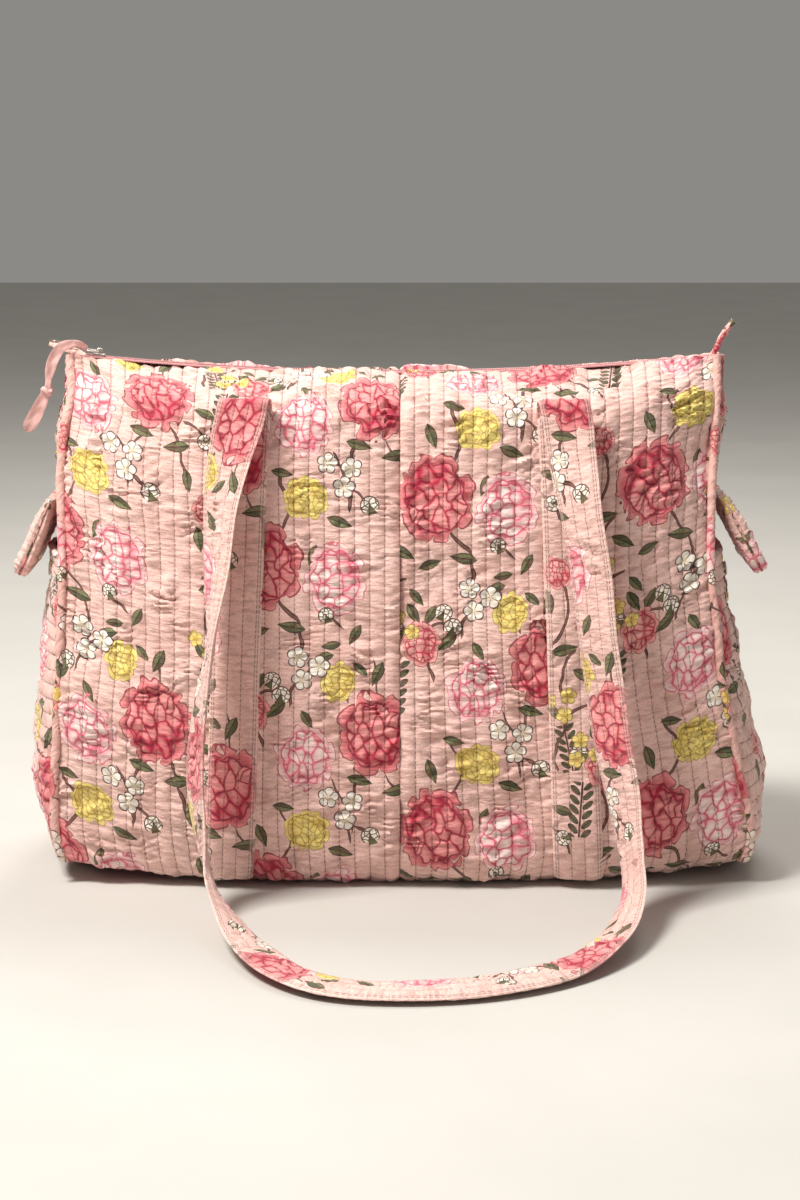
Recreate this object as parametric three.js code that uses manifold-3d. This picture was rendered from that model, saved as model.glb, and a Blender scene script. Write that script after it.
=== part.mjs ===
// A soft quilted knitting bag with side pockets, two shoulder straps and a zipped top.
// Millimetres. X runs across the bag, -Y is its front, +Z is up, and the origin is the centre of its base.
import * as THREE from "three";
import { mergeVertices } from "three/addons/utils/BufferGeometryUtils.js";
import Module from "manifold-3d";

// ---- Driving dimensions ----
const QUILT = 5; // thickness of the quilted walls
const LINING = 0.8; // thickness of the lining cloth
const LINING_SLACK = 1.2; // the lining hangs this far inside the walls
const GAP = 0.35; // air left between two pieces that are sewn together
const BASE_HALF_DEPTH = 67.5;
const BASE_LEFT = -218;
const BASE_RIGHT = 224;
const BASE_CORNER = 14;

// Half depth and height of the wall in the middle of the bag and along its piped side seams.
const MIDDLE_OUTLINE = [[72, 0], [90, 9], [99, 30], [103, 66], [104, 108], [102, 150], [99, 192],
  [95, 232], [90.5, 268], [85, 300], [76, 324], [46, 337], [8, 341.5]];
const SEAM_OUTLINE = [[72, 0], [79, 12], [82, 34], [82, 68], [79, 108], [74, 150], [67, 192],
  [57, 232], [46, 268], [34, 300], [22, 326], [14, 342], [9.5, 353.5]];
// Distance from the middle to each side seam, as [height, distance].
const LEFT_REACH = [[0, 226], [40, 233], [110, 231], [170, 228], [240, 227], [300, 228], [354, 230]];
const RIGHT_REACH = [[0, 232], [33, 237], [80, 228], [150, 215], [240, 209], [300, 213], [354, 217]];
// How far a side wall swells past its seams, and how far its pocket stands off it, by height.
const SIDE_SWELL = [[0, 3], [40, 8], [110, 9], [180, 4], [230, 2], [300, 2], [354, 0.5]];
const POCKET_STANDOFF = [[0, 1], [25, 3], [60, 9], [120, 10.5], [185, 9.5], [222, 7.5]];
const FRONT_FULLNESS = 3.5; // high values keep the wall full right out to its seams
const TOP_FULLNESS = 2;

const SHOULDER_ROW = 10 / 12; // where the upper walls fold open, as a share of the outline
const MOUTH_HALF_WIDTH = 195;
const MOUTH_GAP = 0.4;
const SHOULDER_GAP = 0.003; // left below the fold, as a share of the outline

const PIPING_RADIUS = 2.75;
const SEAM_ALLOWANCE = 4.2; // the front and back stop this far from the middle of the piping
const GUSSET_ALLOWANCE = 6.5; // and the side walls this far
const LINING_ALLOWANCE = 13;
const GUSSET_TOP = 11.5 / 12;

// The closed zip sags along an arc, so the slider runs on a circle.
const ZIP_LOW_POINT = 341.5;
const ZIP_ARC_RADIUS = 2100;
const COIL_INNER = 0.9;
const COIL_OUTER = 3.0;
const COIL_HEIGHT = 2.0;
const TAPE_INNER = 3.3;
const TAPE_OUTER = 7.5;
const TAPE_THICKNESS = 0.8;
const FORK_OUTER = 6.2; // the tape is cut narrower beyond the mouth
const ZIP_STOP_START = 214;
const ZIP_STOP_END = 217;
const ZIP_TAPE_END = 219;
const SLIDER_PARK = 207; // the slider's distance from the middle at either end
const SLIDER_LENGTH = 9;
const SLIDER_WIDTH = 8;
const SLIDER_PLATE = 1.2;
const SLIDER_BRIDGE = 1.0;
const CROWN_HEIGHT = 3.2;
const PULL_HINGE_HEIGHT = 3.75; // above the middle of the coil
const RING_WIRE = 0.6;
const RING_LENGTH = 10;
const RING_HALF_WIDTH = 5.8;
const RIBBON_WIDTH = 8;
const RIBBON_THICKNESS = 1.2;
const RIBBON_PLANE = -8.2;
const RIBBON_ROUTE = [[-220.5, 359.5], [-232, 358.5], [-242, 348], [-248, 328], [-253, 314], [-258, 302]];

const STRAP_WIDTH = 33;
const STRAP_THICKNESS = 3.5;
const STRAP_LEG_TOP_ROW = 9.75; // rows of the outline where a sewn strap leg ends and starts
const STRAP_LEG_BOTTOM_ROW = 1;
const LEFT_LEG = { bottom: -116, top: -102 };
const RIGHT_LEG = { bottom: 121, top: 107 };
// The free loop from its left fold, down to the ground, round and up to its right fold: each station has a
// point, then the direction across the strap, towards the inside of the loop.
const LOOP = [[-102, -86, 327, 1, 0, 0], [-111, -100, 297, 0.9, -0.43, 0],
  [-117, -111, 262, 0.72, -0.7, 0], [-120, -121, 220, 0.5, -0.87, 0], [-124, -129, 172, 0.16, -0.99, 0],
  [-131, -134, 130, 0.28, -0.96, 0], [-134, -138, 90, 0.37, -0.93, 0.1],
  [-131, -146, 56, 0.28, -0.87, 0.4], [-124, -165, 29, -0.12, -0.62, 0.78],
  [-110, -205, 15, -0.62, -0.38, 0.68], [-92, -255, 8, -0.87, -0.38, 0.3],
  [-68, -305, 6, -0.81, -0.55, 0.08], [-40, -332, 5.5, -0.46, -0.89, 0.02], [0, -340, 5.5, 0, -1, -0.05],
  [50, -331, 5.5, 0.36, -0.93, -0.05], [92, -305, 6, 0.68, -0.73, 0], [124, -262, 8.5, 0.83, -0.46, 0.31],
  [144, -205, 15, 0.68, -0.33, 0.65], [151, -166, 29, 0.36, -0.54, 0.76],
  [149, -148, 54, 0.45, -0.77, 0.44], [145, -141, 80, 0.62, -0.74, 0.28], [138, -134, 115, 0.7, -0.7, 0.2],
  [131, -128, 165, 0.74, -0.67, 0.15], [125, -122, 215, 0.74, -0.66, 0.14],
  [118, -111, 262, 0.8, -0.59, 0.1], [113, -99, 295, 0.92, -0.38, 0], [107, -86, 327, 1, 0, 0]];
const LOOP_BEND_LEFT = 7; // stations where the loop bends as it leaves the ground
const LOOP_BEND_RIGHT = 19;
const LOOP_CUT = 0.26; // stations left open each side of a bend, so the strap can straighten there

const FLAP_LENGTH = 58;
const FLAP_WIDTH = 90;
const FLAP_THICKNESS = 8;
const FLAP_ROOT_THICKNESS = 2.5;
const FLAP_HEIGHT = 256;
const LEFT_FLAP = { x: -231.8, lean: THREE.MathUtils.degToRad(24) };
const RIGHT_FLAP = { x: 214.8, lean: THREE.MathUtils.degToRad(29) };
const SNAP_RADIUS = 5;
const SNAP_HEIGHT = 2;
const SNAP_ALONG_FLAP = 44;
const POCKET_WALL = 3.5;
const POCKET_BOTTOM = 0.05; // shares of the outline at the pocket's base and mouth
const POCKET_TOP = 6.72 / 12;
const SOCKET_BELOW_MOUTH = 0.07; // as a share of the pocket's height
const TAB_LENGTH = 24;
const TAB_WIDTH = 13;
const TAB_THICKNESS = 3;

// ---- Cloth colours ----
const PRINT = { color: 0xdda6a0, roughness: 0.9, metalness: 0 };
const PIPING_CLOTH = { color: 0xd98f8a, roughness: 0.88, metalness: 0 };
const LINING_CLOTH = { color: 0xe9cfc8, roughness: 0.92, metalness: 0 };
const ZIP_CLOTH = { color: 0xc98f90, roughness: 0.85, metalness: 0 };
const RIBBON_CLOTH = { color: 0xe9b9b4, roughness: 0.7, metalness: 0 };
const COIL_PLASTIC = { color: 0xd7a3a3, roughness: 0.45, metalness: 0 };
const SNAP_PLASTIC = { color: 0xe9e6e0, roughness: 0.3, metalness: 0 };
const SLIDER_METAL = { color: 0xc9c4bb, roughness: 0.3, metalness: 1 };

const wasm = await Module();
wasm.setup();
const bag = new THREE.Group();

// ---- Shared tools ----
const lerp = THREE.MathUtils.lerp;
const LINING_FROM = QUILT + LINING_SLACK;
const LINING_TO = LINING_FROM + LINING;

// A smooth curve through [position, value] pairs.
function smoothTable(pairs) {
  const curve = new THREE.CubicInterpolant(pairs.map((p) => p[0]), pairs.map((p) => p[1]), 1);
  const low = pairs[0][0];
  const high = pairs[pairs.length - 1][0];
  return (at) => curve.evaluate(THREE.MathUtils.clamp(at, low, high))[0];
}

// Turns a closed geometry right side out.
function facingOut(geometry) {
  const place = geometry.getAttribute("position");
  const index = geometry.getIndex();
  const corners = [0, 1, 2].map(() => new THREE.Vector3());
  let volume = 0;
  for (let i = 0; i < index.count; i += 3) {
    corners.forEach((corner, k) => corner.fromBufferAttribute(place, index.getX(i + k)));
    volume += corners[0].dot(corners[1].clone().cross(corners[2]));
  }
  if (volume < 0) {
    const flipped = Array.from(index.array);
    for (let i = 0; i < flipped.length; i += 3) {
      [flipped[i + 1], flipped[i + 2]] = [flipped[i + 2], flipped[i + 1]];
    }
    geometry.setIndex(flipped);
  }
  geometry.computeVertexNormals();
  return geometry;
}

// A closed piece of cloth between two faces, each a function of (a, b) from 0 to 1,
// over columns x rows cells.
// keeps(column, row) can leave cells out, which gives a stepped outline.
function clothPiece(columns, rows, outer, inner, keeps = () => true) {
  const points = [];
  for (const face of [outer, inner]) {
    for (let row = 0; row <= rows; row += 1) {
      for (let column = 0; column <= columns; column += 1) {
        points.push(...face(column / columns, row / rows).toArray());
      }
    }
  }
  const perFace = (columns + 1) * (rows + 1);
  const triangles = [];
  const quad = (p, q, r, s) => triangles.push(p, q, r, p, r, s);
  const kept = (c, r) => c >= 0 && r >= 0 && c < columns && r < rows && keeps(c, r);
  for (let r = 0; r < rows; r += 1) {
    for (let c = 0; c < columns; c += 1) {
      if (!kept(c, r)) continue;
      const a = r * (columns + 1) + c;
      const ring = [a, a + 1, a + columns + 2, a + columns + 1];
      quad(...ring);
      quad(...ring.map((i) => i + perFace).reverse());
      const beside = [[c, r - 1], [c + 1, r], [c, r + 1], [c - 1, r]];
      beside.forEach(([nc, nr], side) => {
        if (kept(nc, nr)) return;
        const [from, to] = [ring[side], ring[(side + 1) % 4]];
        quad(to, from, from + perFace, to + perFace);
      });
    }
  }
  const full = new THREE.BufferGeometry();
  full.setAttribute("position", new THREE.Float32BufferAttribute(points, 3));
  full.setIndex(triangles);
  const used = full.toNonIndexed();
  return facingOut(mergeVertices(used, 1e-4));
}

function add(name, geometry, look) {
  const mesh = new THREE.Mesh(geometry, new THREE.MeshStandardMaterial(look));
  mesh.name = name;
  bag.add(mesh);
  return mesh;
}

// Moves a surface along its own normal; out is +1 or -1 to make that normal point out of the bag.
function offsetSurface(surface, out, distance) {
  const step = 0.002;
  return (a, b) => {
    const along = surface(a + step, b).sub(surface(a - step, b));
    const up = surface(a, b + step).sub(surface(a, b - step));
    const normal = along.cross(up).normalize().multiplyScalar(out * distance);
    return surface(a, b).add(normal);
  };
}

// ---- The bag's outer surface ----
const middleOutline = new THREE.SplineCurve(MIDDLE_OUTLINE.map((p) => new THREE.Vector2(...p)));
const seamOutline = new THREE.SplineCurve(SEAM_OUTLINE.map((p) => new THREE.Vector2(...p)));
const leftReach = smoothTable(LEFT_REACH);
const rightReach = smoothTable(RIGHT_REACH);
const sideSwell = smoothTable(SIDE_SWELL);
const pocketStandoff = smoothTable(POCKET_STANDOFF);
const reachAt = (x, height) => (x < 0 ? leftReach(height) : rightReach(height));

const outlineAt = (curve, row) => curve.getPoint(THREE.MathUtils.clamp(row, 0, 1));
const seamAt = (row) => outlineAt(seamOutline, row);

// A point on the front (facing = -1) or back (+1) wall: x is its distance across,
// row its share of the outline.
function wallPoint(x, row, facing) {
  const middle = outlineAt(middleOutline, row);
  const seam = seamAt(row);
  const reach = reachAt(x, seam.y);
  const fullness = lerp(FRONT_FULLNESS, TOP_FULLNESS, THREE.MathUtils.smoothstep(row, SHOULDER_ROW, 1));
  const blend = 1 - Math.min(Math.abs(x) / reach, 1) ** fullness;
  return new THREE.Vector3(x, facing * lerp(seam.x, middle.x, blend), lerp(seam.y, middle.y, blend));
}

// A point on a side wall: across runs from -1 at the front seam to +1 at the back seam.
function sidePoint(side, across, row, standoff = 0) {
  const seam = seamAt(row);
  const swell = (sideSwell(seam.y) + standoff * pocketStandoff(seam.y)) * (1 - across * across);
  return new THREE.Vector3(side * (reachAt(side, seam.y) + swell), across * seam.x, seam.y);
}

// ---- Walls ----
const FACES = [{ name: "front", facing: -1 }, { name: "back", facing: 1 }];
const SIDES = [{ name: "left", side: -1 }, { name: "right", side: 1 }];
const SHOULDER_ROWS = 10;
const MOUTH_ROWS = 3;
const MOUTH_COLUMNS = 6; // in one half of the mouth
const LINING_FOLD_GAP = 0.01; // the lining is cut back further at the fold, as a share of the outline
const MOUTH_LINING_INSET = 26;
const CENTRE_GAP = 0.2;

// One half of the front or back, from the centre seam to the piping. Its top outer corner, past the mouth,
// runs up to the zip; the rest stops at the shoulder.
function halfWall({ facing }, { side }) {
  const foldRow = SHOULDER_ROW - SHOULDER_GAP;
  const surface = (a, b) => {
    const step = b * (SHOULDER_ROWS + MOUTH_ROWS);
    const row = step <= SHOULDER_ROWS
      ? (step / SHOULDER_ROWS) * foldRow
      : lerp(foldRow, 1, (step - SHOULDER_ROWS) / MOUTH_ROWS);
    const column = a * (MOUTH_COLUMNS + 1);
    const outerEdge = reachAt(side, seamAt(row).y) - SEAM_ALLOWANCE;
    const mouthEdge = MOUTH_HALF_WIDTH + MOUTH_GAP;
    const x = column <= MOUTH_COLUMNS
      ? lerp(CENTRE_GAP, mouthEdge, column / MOUTH_COLUMNS)
      : lerp(mouthEdge, outerEdge, column - MOUTH_COLUMNS);
    return wallPoint(side * x, row, facing);
  };
  const out = -facing * side;
  return clothPiece(MOUTH_COLUMNS + 1, SHOULDER_ROWS + MOUTH_ROWS, offsetSurface(surface, out, 0),
    offsetSurface(surface, out, -QUILT), (column, row) => row < SHOULDER_ROWS || column >= MOUTH_COLUMNS);
}

// The part of the front or back above the shoulder, between the top corners, that folds open.
function mouthWall({ facing }, low, high, from, to, columns) {
  const foldRow = SHOULDER_ROW + (from > 0 ? LINING_FOLD_GAP : 0);
  const surface = (a, b) => wallPoint(lerp(low, high, a), lerp(foldRow, 1, b), facing);
  return clothPiece(columns, MOUTH_ROWS, offsetSurface(surface, -facing, -from),
    offsetSurface(surface, -facing, -to));
}

// Half of the loose lining behind the front or back.
function halfLining({ facing }, { side }) {
  const foldRow = SHOULDER_ROW - SHOULDER_GAP;
  const surface = (a, b) => {
    const row = lerp(foldRow / SHOULDER_ROWS, foldRow, b);
    const outerEdge = reachAt(side, seamAt(row).y) - LINING_ALLOWANCE;
    return wallPoint(side * lerp(CENTRE_GAP, outerEdge, a), row, facing);
  };
  const out = -facing * side;
  return clothPiece(MOUTH_COLUMNS, SHOULDER_ROWS - 1, offsetSurface(surface, out, -LINING_FROM),
    offsetSurface(surface, out, -LINING_TO));
}

function sideWall({ side }, allowance, low, high, from, to, rows) {
  const surface = (a, b) => {
    const row = lerp(low, high, b);
    const edge = 1 - allowance / seamAt(row).x;
    return sidePoint(side, lerp(-edge, edge, a), row);
  };
  return clothPiece(6, rows, offsetSurface(surface, side, -from), offsetSurface(surface, side, -to));
}

for (const face of FACES) {
  for (const half of SIDES) {
    add(`${face.name}_panel_${half.name}`, halfWall(face, half), PRINT);
    const edges = [CENTRE_GAP * half.side, MOUTH_HALF_WIDTH * half.side].sort((p, q) => p - q);
    add(`${face.name}_mouth_${half.name}`, mouthWall(face, ...edges, 0, QUILT, MOUTH_COLUMNS), PRINT);
    add(`${face.name}_lining_${half.name}`, halfLining(face, half), LINING_CLOTH);
  }
  const width = MOUTH_HALF_WIDTH - MOUTH_LINING_INSET;
  add(`${face.name}_mouth_lining`, mouthWall(face, -width, width, LINING_FROM, LINING_TO, 10), LINING_CLOTH);
}
for (const half of SIDES) {
  add(`gusset_${half.name}`, sideWall(half, GUSSET_ALLOWANCE, 0, GUSSET_TOP, 0, QUILT, 12), PRINT);
  add(`gusset_lining_${half.name}`,
    sideWall(half, LINING_ALLOWANCE, 1 / 12, SHOULDER_ROW, LINING_FROM, LINING_TO, 9), LINING_CLOTH);
}

// ---- Base ----
function roundedPlate(left, right, halfDepth, corner, thickness) {
  const outline = new THREE.Shape();
  outline.absarc(right - corner, halfDepth - corner, corner, 0, Math.PI / 2);
  outline.absarc(left + corner, halfDepth - corner, corner, Math.PI / 2, Math.PI);
  outline.absarc(left + corner, corner - halfDepth, corner, Math.PI, 1.5 * Math.PI);
  outline.absarc(right - corner, corner - halfDepth, corner, 1.5 * Math.PI, 2 * Math.PI);
  return new THREE.ExtrudeGeometry(outline, { depth: thickness, bevelEnabled: false, curveSegments: 4 });
}
add("bottom_panel", roundedPlate(BASE_LEFT, BASE_RIGHT, BASE_HALF_DEPTH, BASE_CORNER, QUILT), PRINT);
const liningBase = roundedPlate(BASE_LEFT + LINING_ALLOWANCE, BASE_RIGHT - LINING_ALLOWANCE,
  BASE_HALF_DEPTH - LINING_ALLOWANCE, BASE_CORNER, LINING);
add("bottom_lining", liningBase, LINING_CLOTH).position.z = QUILT + GAP;

// ---- Piping ----
class SeamLine extends THREE.Curve {
  constructor(side, facing) {
    super();
    this.side = side;
    this.facing = facing;
  }

  getPoint(share) {
    const row = lerp(0.035, 0.985, share);
    const seam = seamAt(row);
    return new THREE.Vector3(this.side * reachAt(this.side, seam.y), this.facing * seam.x, seam.y);
  }
}
for (const { name, facing } of FACES) {
  for (const half of SIDES) {
    const section = new THREE.Shape().absarc(0, 0, PIPING_RADIUS, 0, 2 * Math.PI);
    const path = new SeamLine(half.side, facing);
    const tube = new THREE.ExtrudeGeometry(section, { steps: 18, extrudePath: path, curveSegments: 4 });
    add(`piping_${name}_${half.name}`, tube, PIPING_CLOTH);
  }
}

// ---- Strap legs sewn to the front and back ----
function strapLeg({ facing }, side, leg) {
  const rows = Math.ceil(STRAP_LEG_TOP_ROW) - STRAP_LEG_BOTTOM_ROW;
  const surface = (a, b) => {
    const x = lerp(leg.bottom, leg.top, b) + side * (a - 0.5) * STRAP_WIDTH;
    return wallPoint(x, Math.min(STRAP_LEG_BOTTOM_ROW + b * rows, STRAP_LEG_TOP_ROW) / 12, facing);
  };
  const out = -facing * side;
  return clothPiece(
    2, rows, offsetSurface(surface, out, GAP + STRAP_THICKNESS), offsetSurface(surface, out, GAP),
  );
}
for (const face of FACES) {
  add(`${face.name}_strap_leg_left`, strapLeg(face, -1, LEFT_LEG), PRINT);
  add(`${face.name}_strap_leg_right`, strapLeg(face, 1, RIGHT_LEG), PRINT);
}

// ---- Free strap loops ----
// A flat strip through hand-placed stations; facing mirrors it to the back of the bag.
function strip(stations, facing, width, thickness, rows, trim = [0, 1]) {
  const centre = new THREE.CatmullRomCurve3(
    stations.map((s) => new THREE.Vector3(s[0], -facing * s[1], s[2])),
  );
  const across = new THREE.CatmullRomCurve3(
    stations.map((s) => new THREE.Vector3(s[3], -facing * s[4], s[5])),
  );
  const face = (lift) => (a, b) => {
    const at = lerp(trim[0], trim[1], b);
    const along = centre.getTangent(at);
    const side = across.getPoint(at);
    side.addScaledVector(along, -side.dot(along)).normalize();
    const normal = along.clone().cross(side).normalize();
    return centre.getPoint(at).addScaledVector(side, (a - 0.5) * width).addScaledVector(normal, lift);
  };
  return clothPiece(1, rows, face(thickness / 2), face(-thickness / 2));
}
for (const { name, facing } of FACES) {
  const bends = [LOOP_BEND_LEFT, LOOP_BEND_RIGHT];
  const pieces = {
    strap_left: [0, bends[0] - LOOP_CUT, 10],
    strap_bow: [bends[0] + LOOP_CUT, bends[1] - LOOP_CUT, 30],
    strap_right: [bends[1] + LOOP_CUT, LOOP.length - 1, 10] };
  for (const [piece, [start, end, rows]] of Object.entries(pieces)) {
    const trim = [start, end].map((station) => station / (LOOP.length - 1));
    add(`${name}_${piece}`, strip(LOOP, facing, STRAP_WIDTH, STRAP_THICKNESS, rows, trim), PRINT);
  }
}

// ---- Side pockets ----
function pocketFace({ side }, lift) {
  const surface = (a, b) => {
    const row = lerp(POCKET_BOTTOM, POCKET_TOP, b);
    const edge = 1 - (GUSSET_ALLOWANCE + 1) / seamAt(row).x;
    return sidePoint(side, lerp(-edge, edge, a), row, 1);
  };
  return offsetSurface(surface, side, lift);
}
function pocketWall(half) {
  return clothPiece(8, 7, pocketFace(half, GAP + POCKET_WALL), pocketFace(half, GAP));
}
for (const half of SIDES) add(`pocket_${half.name}`, pocketWall(half), PRINT);

// ---- Pocket flaps ----
// The flap in its own frame: x is its distance from the hinge, y its outer side, extruded along the gusset.
function flapGeometry() {
  const outline = new THREE.Shape();
  const tip = FLAP_THICKNESS / 2;
  outline.moveTo(0.6, 0);
  outline.lineTo(FLAP_LENGTH - tip, 0);
  outline.absarc(FLAP_LENGTH - tip, tip, tip, -Math.PI / 2, Math.PI / 2);
  outline.lineTo(14, FLAP_THICKNESS);
  outline.lineTo(0.6, FLAP_ROOT_THICKNESS);
  const flap = new THREE.ExtrudeGeometry(
    outline, { depth: FLAP_WIDTH, bevelEnabled: false, curveSegments: 6 },
  );
  flap.translate(0, 0, -FLAP_WIDTH / 2);
  return flap;
}
function snapHalf() {
  const outline = [[0, 0], [SNAP_RADIUS, 0], [SNAP_RADIUS, 1.1], [3.2, SNAP_HEIGHT], [0, SNAP_HEIGHT]];
  return new THREE.LatheGeometry(outline.map((p) => new THREE.Vector2(...p)), 14);
}
for (const [half, place] of [[SIDES[0], LEFT_FLAP], [SIDES[1], RIGHT_FLAP]]) {
  const hinge = new THREE.Group();
  hinge.position.set(place.x, 0, FLAP_HEIGHT);
  // Local x points down the flap, local y out of its outer face, local z along the gusset.
  const down = new THREE.Vector3(half.side * Math.sin(place.lean), 0, -Math.cos(place.lean));
  const outward = new THREE.Vector3(half.side * Math.cos(place.lean), 0, Math.sin(place.lean));
  hinge.quaternion.setFromRotationMatrix(
    new THREE.Matrix4().makeBasis(down, outward, down.clone().cross(outward)),
  );
  const flap = add(`flap_${half.name}`, flapGeometry(), PRINT);
  const stud = add(`snap_stud_${half.name}`, snapHalf(), SNAP_PLASTIC);
  stud.position.set(SNAP_ALONG_FLAP, -GAP, 0);
  stud.rotation.x = Math.PI;
  hinge.add(flap, stud);
  bag.add(hinge);

  // The other half of the snap, on the pocket.
  const across = 0.5;
  const face = pocketFace(half, GAP + POCKET_WALL)(across, 1 - SOCKET_BELOW_MOUTH);
  const above = pocketFace(half, 2 * GAP + POCKET_WALL + 1)(across, 1 - SOCKET_BELOW_MOUTH);
  const outwardNormal = above.sub(face).normalize();
  const socket = add(`snap_socket_${half.name}`, snapHalf(), SNAP_PLASTIC);
  socket.position.copy(face).addScaledVector(outwardNormal, GAP);
  socket.quaternion.setFromUnitVectors(new THREE.Vector3(0, 1, 0), outwardNormal);
}

// ---- Zip ----
const zipHeight = (x) => ZIP_LOW_POINT + ZIP_ARC_RADIUS - Math.sqrt(ZIP_ARC_RADIUS ** 2 - x * x);
function zipStrip(facing, near, far, thickness, columns) {
  const half = MOUTH_HALF_WIDTH;
  const face = (lift) => (a, b) => {
    const x = lerp(-half, half, a);
    return new THREE.Vector3(x, facing * lerp(near, far, b), zipHeight(x) + lift);
  };
  return clothPiece(columns, 1, face(thickness / 2), face(-thickness / 2));
}
for (const { name, facing } of FACES) {
  add(`${name}_zip_tape`, zipStrip(facing, TAPE_INNER, TAPE_OUTER, TAPE_THICKNESS, 12), ZIP_CLOTH);
  add(`${name}_zip_coil`, zipStrip(facing, COIL_INNER, COIL_OUTER, COIL_HEIGHT, 12), COIL_PLASTIC);
}

// A flat fork that holds both sides of the zip beyond the mouth and joins them at the end.
function zipFork(side, near, far, joinStart, joinEnd, thickness) {
  const start = MOUTH_HALF_WIDTH + MOUTH_GAP;
  const corners = [[start, far], [start, near], [joinStart, near], [joinStart, -near], [start, -near],
    [start, -far], [joinEnd, -far], [joinEnd, far]];
  const outline = new THREE.Shape(corners.map(([x, y]) => new THREE.Vector2(x - SLIDER_PARK, y)));
  const fork = new THREE.ExtrudeGeometry(outline, { depth: thickness, bevelEnabled: false });
  fork.translate(0, 0, -thickness / 2);
  fork.rotateY(-Math.asin(SLIDER_PARK / ZIP_ARC_RADIUS));
  fork.translate(SLIDER_PARK, 0, zipHeight(SLIDER_PARK));
  if (side < 0) fork.rotateZ(Math.PI);
  return fork;
}
function endTab(side) {
  const tab = roundedPlate(0, TAB_LENGTH, TAB_WIDTH / 2, 2.5, TAB_THICKNESS);
  tab.rotateY(-THREE.MathUtils.degToRad(side < 0 ? 14 : 36));
  tab.translate(ZIP_TAPE_END + 1.9, 0, zipHeight(ZIP_TAPE_END) - 1);
  if (side < 0) tab.rotateZ(Math.PI);
  tab.translate(0, 2, 0);
  return tab;
}
for (const half of SIDES) {
  add(`zip_tape_end_${half.name}`,
    zipFork(half.side, TAPE_INNER, FORK_OUTER, ZIP_STOP_END + GAP, ZIP_TAPE_END, TAPE_THICKNESS), ZIP_CLOTH);
  add(`zip_stop_${half.name}`,
    zipFork(half.side, COIL_INNER, COIL_OUTER, ZIP_STOP_START, ZIP_STOP_END, COIL_HEIGHT), COIL_PLASTIC);
  add(`zip_tab_${half.name}`, endTab(half.side), PRINT);
}

// ---- Slider, ring and ribbon ----
function solidOf(geometry) {
  const bare = geometry.clone();
  bare.deleteAttribute("normal");
  bare.deleteAttribute("uv");
  const merged = mergeVertices(bare, 1e-4);
  const vertProperties = new Float32Array(merged.getAttribute("position").array);
  const triVerts = new Uint32Array(merged.getIndex().array);
  return new wasm.Manifold(new wasm.Mesh({ numProp: 3, vertProperties, triVerts }));
}
function geometryOf(solid) {
  const mesh = solid.getMesh();
  const geometry = new THREE.BufferGeometry();
  geometry.setAttribute("position", new THREE.BufferAttribute(mesh.vertProperties, 3));
  geometry.setIndex(new THREE.BufferAttribute(mesh.triVerts, 1));
  geometry.computeVertexNormals();
  return geometry;
}
function box(width, depth, height, z) {
  return new THREE.BoxGeometry(width, depth, height).translate(0, 0, z);
}
function sliderGeometry() {
  const plateLift = COIL_HEIGHT / 2 + GAP + SLIDER_PLATE / 2;
  const crownBase = COIL_HEIGHT / 2 + GAP + SLIDER_PLATE;
  const plates = solidOf(box(SLIDER_LENGTH, SLIDER_WIDTH, SLIDER_PLATE, plateLift))
    .add(solidOf(box(SLIDER_LENGTH, SLIDER_WIDTH, SLIDER_PLATE, -plateLift)))
    .add(solidOf(box(2.4, SLIDER_BRIDGE, 2 * plateLift, 0)));
  const arch = solidOf(box(5, 2.2, CROWN_HEIGHT + 0.2, crownBase + CROWN_HEIGHT / 2 - 0.1))
    .subtract(solidOf(box(2.8, 4, 2.2, crownBase + 1.1)));
  return geometryOf(plates.add(arch));
}
function ringGeometry() {
  const corner = 2;
  const outline = new THREE.Shape();
  const wire = RING_WIRE;
  const half = RING_HALF_WIDTH;
  outline.moveTo(wire, -half);
  outline.lineTo(wire, half);
  outline.lineTo(-RING_LENGTH + corner, half);
  outline.absarc(-RING_LENGTH + corner, half - corner, corner, Math.PI / 2, Math.PI);
  outline.absarc(-RING_LENGTH + corner, corner - half, corner, Math.PI, 1.5 * Math.PI);
  const inside = half - 2 * wire;
  const hole = new THREE.Path([
    [-wire, -inside], [-RING_LENGTH + 3 * wire, -inside], [-RING_LENGTH + 3 * wire, inside],
    [-wire, inside]].map((p) => new THREE.Vector2(...p)));
  outline.holes.push(hole);
  return new THREE.ExtrudeGeometry(outline, { depth: 2 * wire, bevelEnabled: false, curveSegments: 3 })
    .translate(0, 0, -wire);
}
function ribbonGeometry() {
  const stations = RIBBON_ROUTE.map(([x, z], i) => {
    const next = RIBBON_ROUTE[Math.min(i + 1, RIBBON_ROUTE.length - 1)];
    const last = RIBBON_ROUTE[Math.max(i - 1, 0)];
    return [x, RIBBON_PLANE, z, -(next[1] - last[1]), 0, next[0] - last[0]];
  });
  return strip(stations, -1, RIBBON_WIDTH, RIBBON_THICKNESS, 10);
}
const sliderPlace = new THREE.Group();
sliderPlace.position.set(-SLIDER_PARK, 0, zipHeight(SLIDER_PARK));
sliderPlace.rotation.y = Math.asin(SLIDER_PARK / ZIP_ARC_RADIUS);
const slider = add("slider_body", sliderGeometry(), SLIDER_METAL);
const ring = add("pull_ring", ringGeometry(), SLIDER_METAL);
ring.position.z = PULL_HINGE_HEIGHT;
sliderPlace.add(slider, ring);
bag.add(sliderPlace);
add("pull_ribbon", ribbonGeometry(), RIBBON_CLOTH);

export default bag;
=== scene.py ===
# A soft quilted knitting bag: its cloth, seams, straps, zip and snaps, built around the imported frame.
# Shapes are worked out in millimetres and become metres when a mesh is made.
# X runs across the bag, -Y is its front and +Z is up; the origin is the centre of its base.
import math

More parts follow.
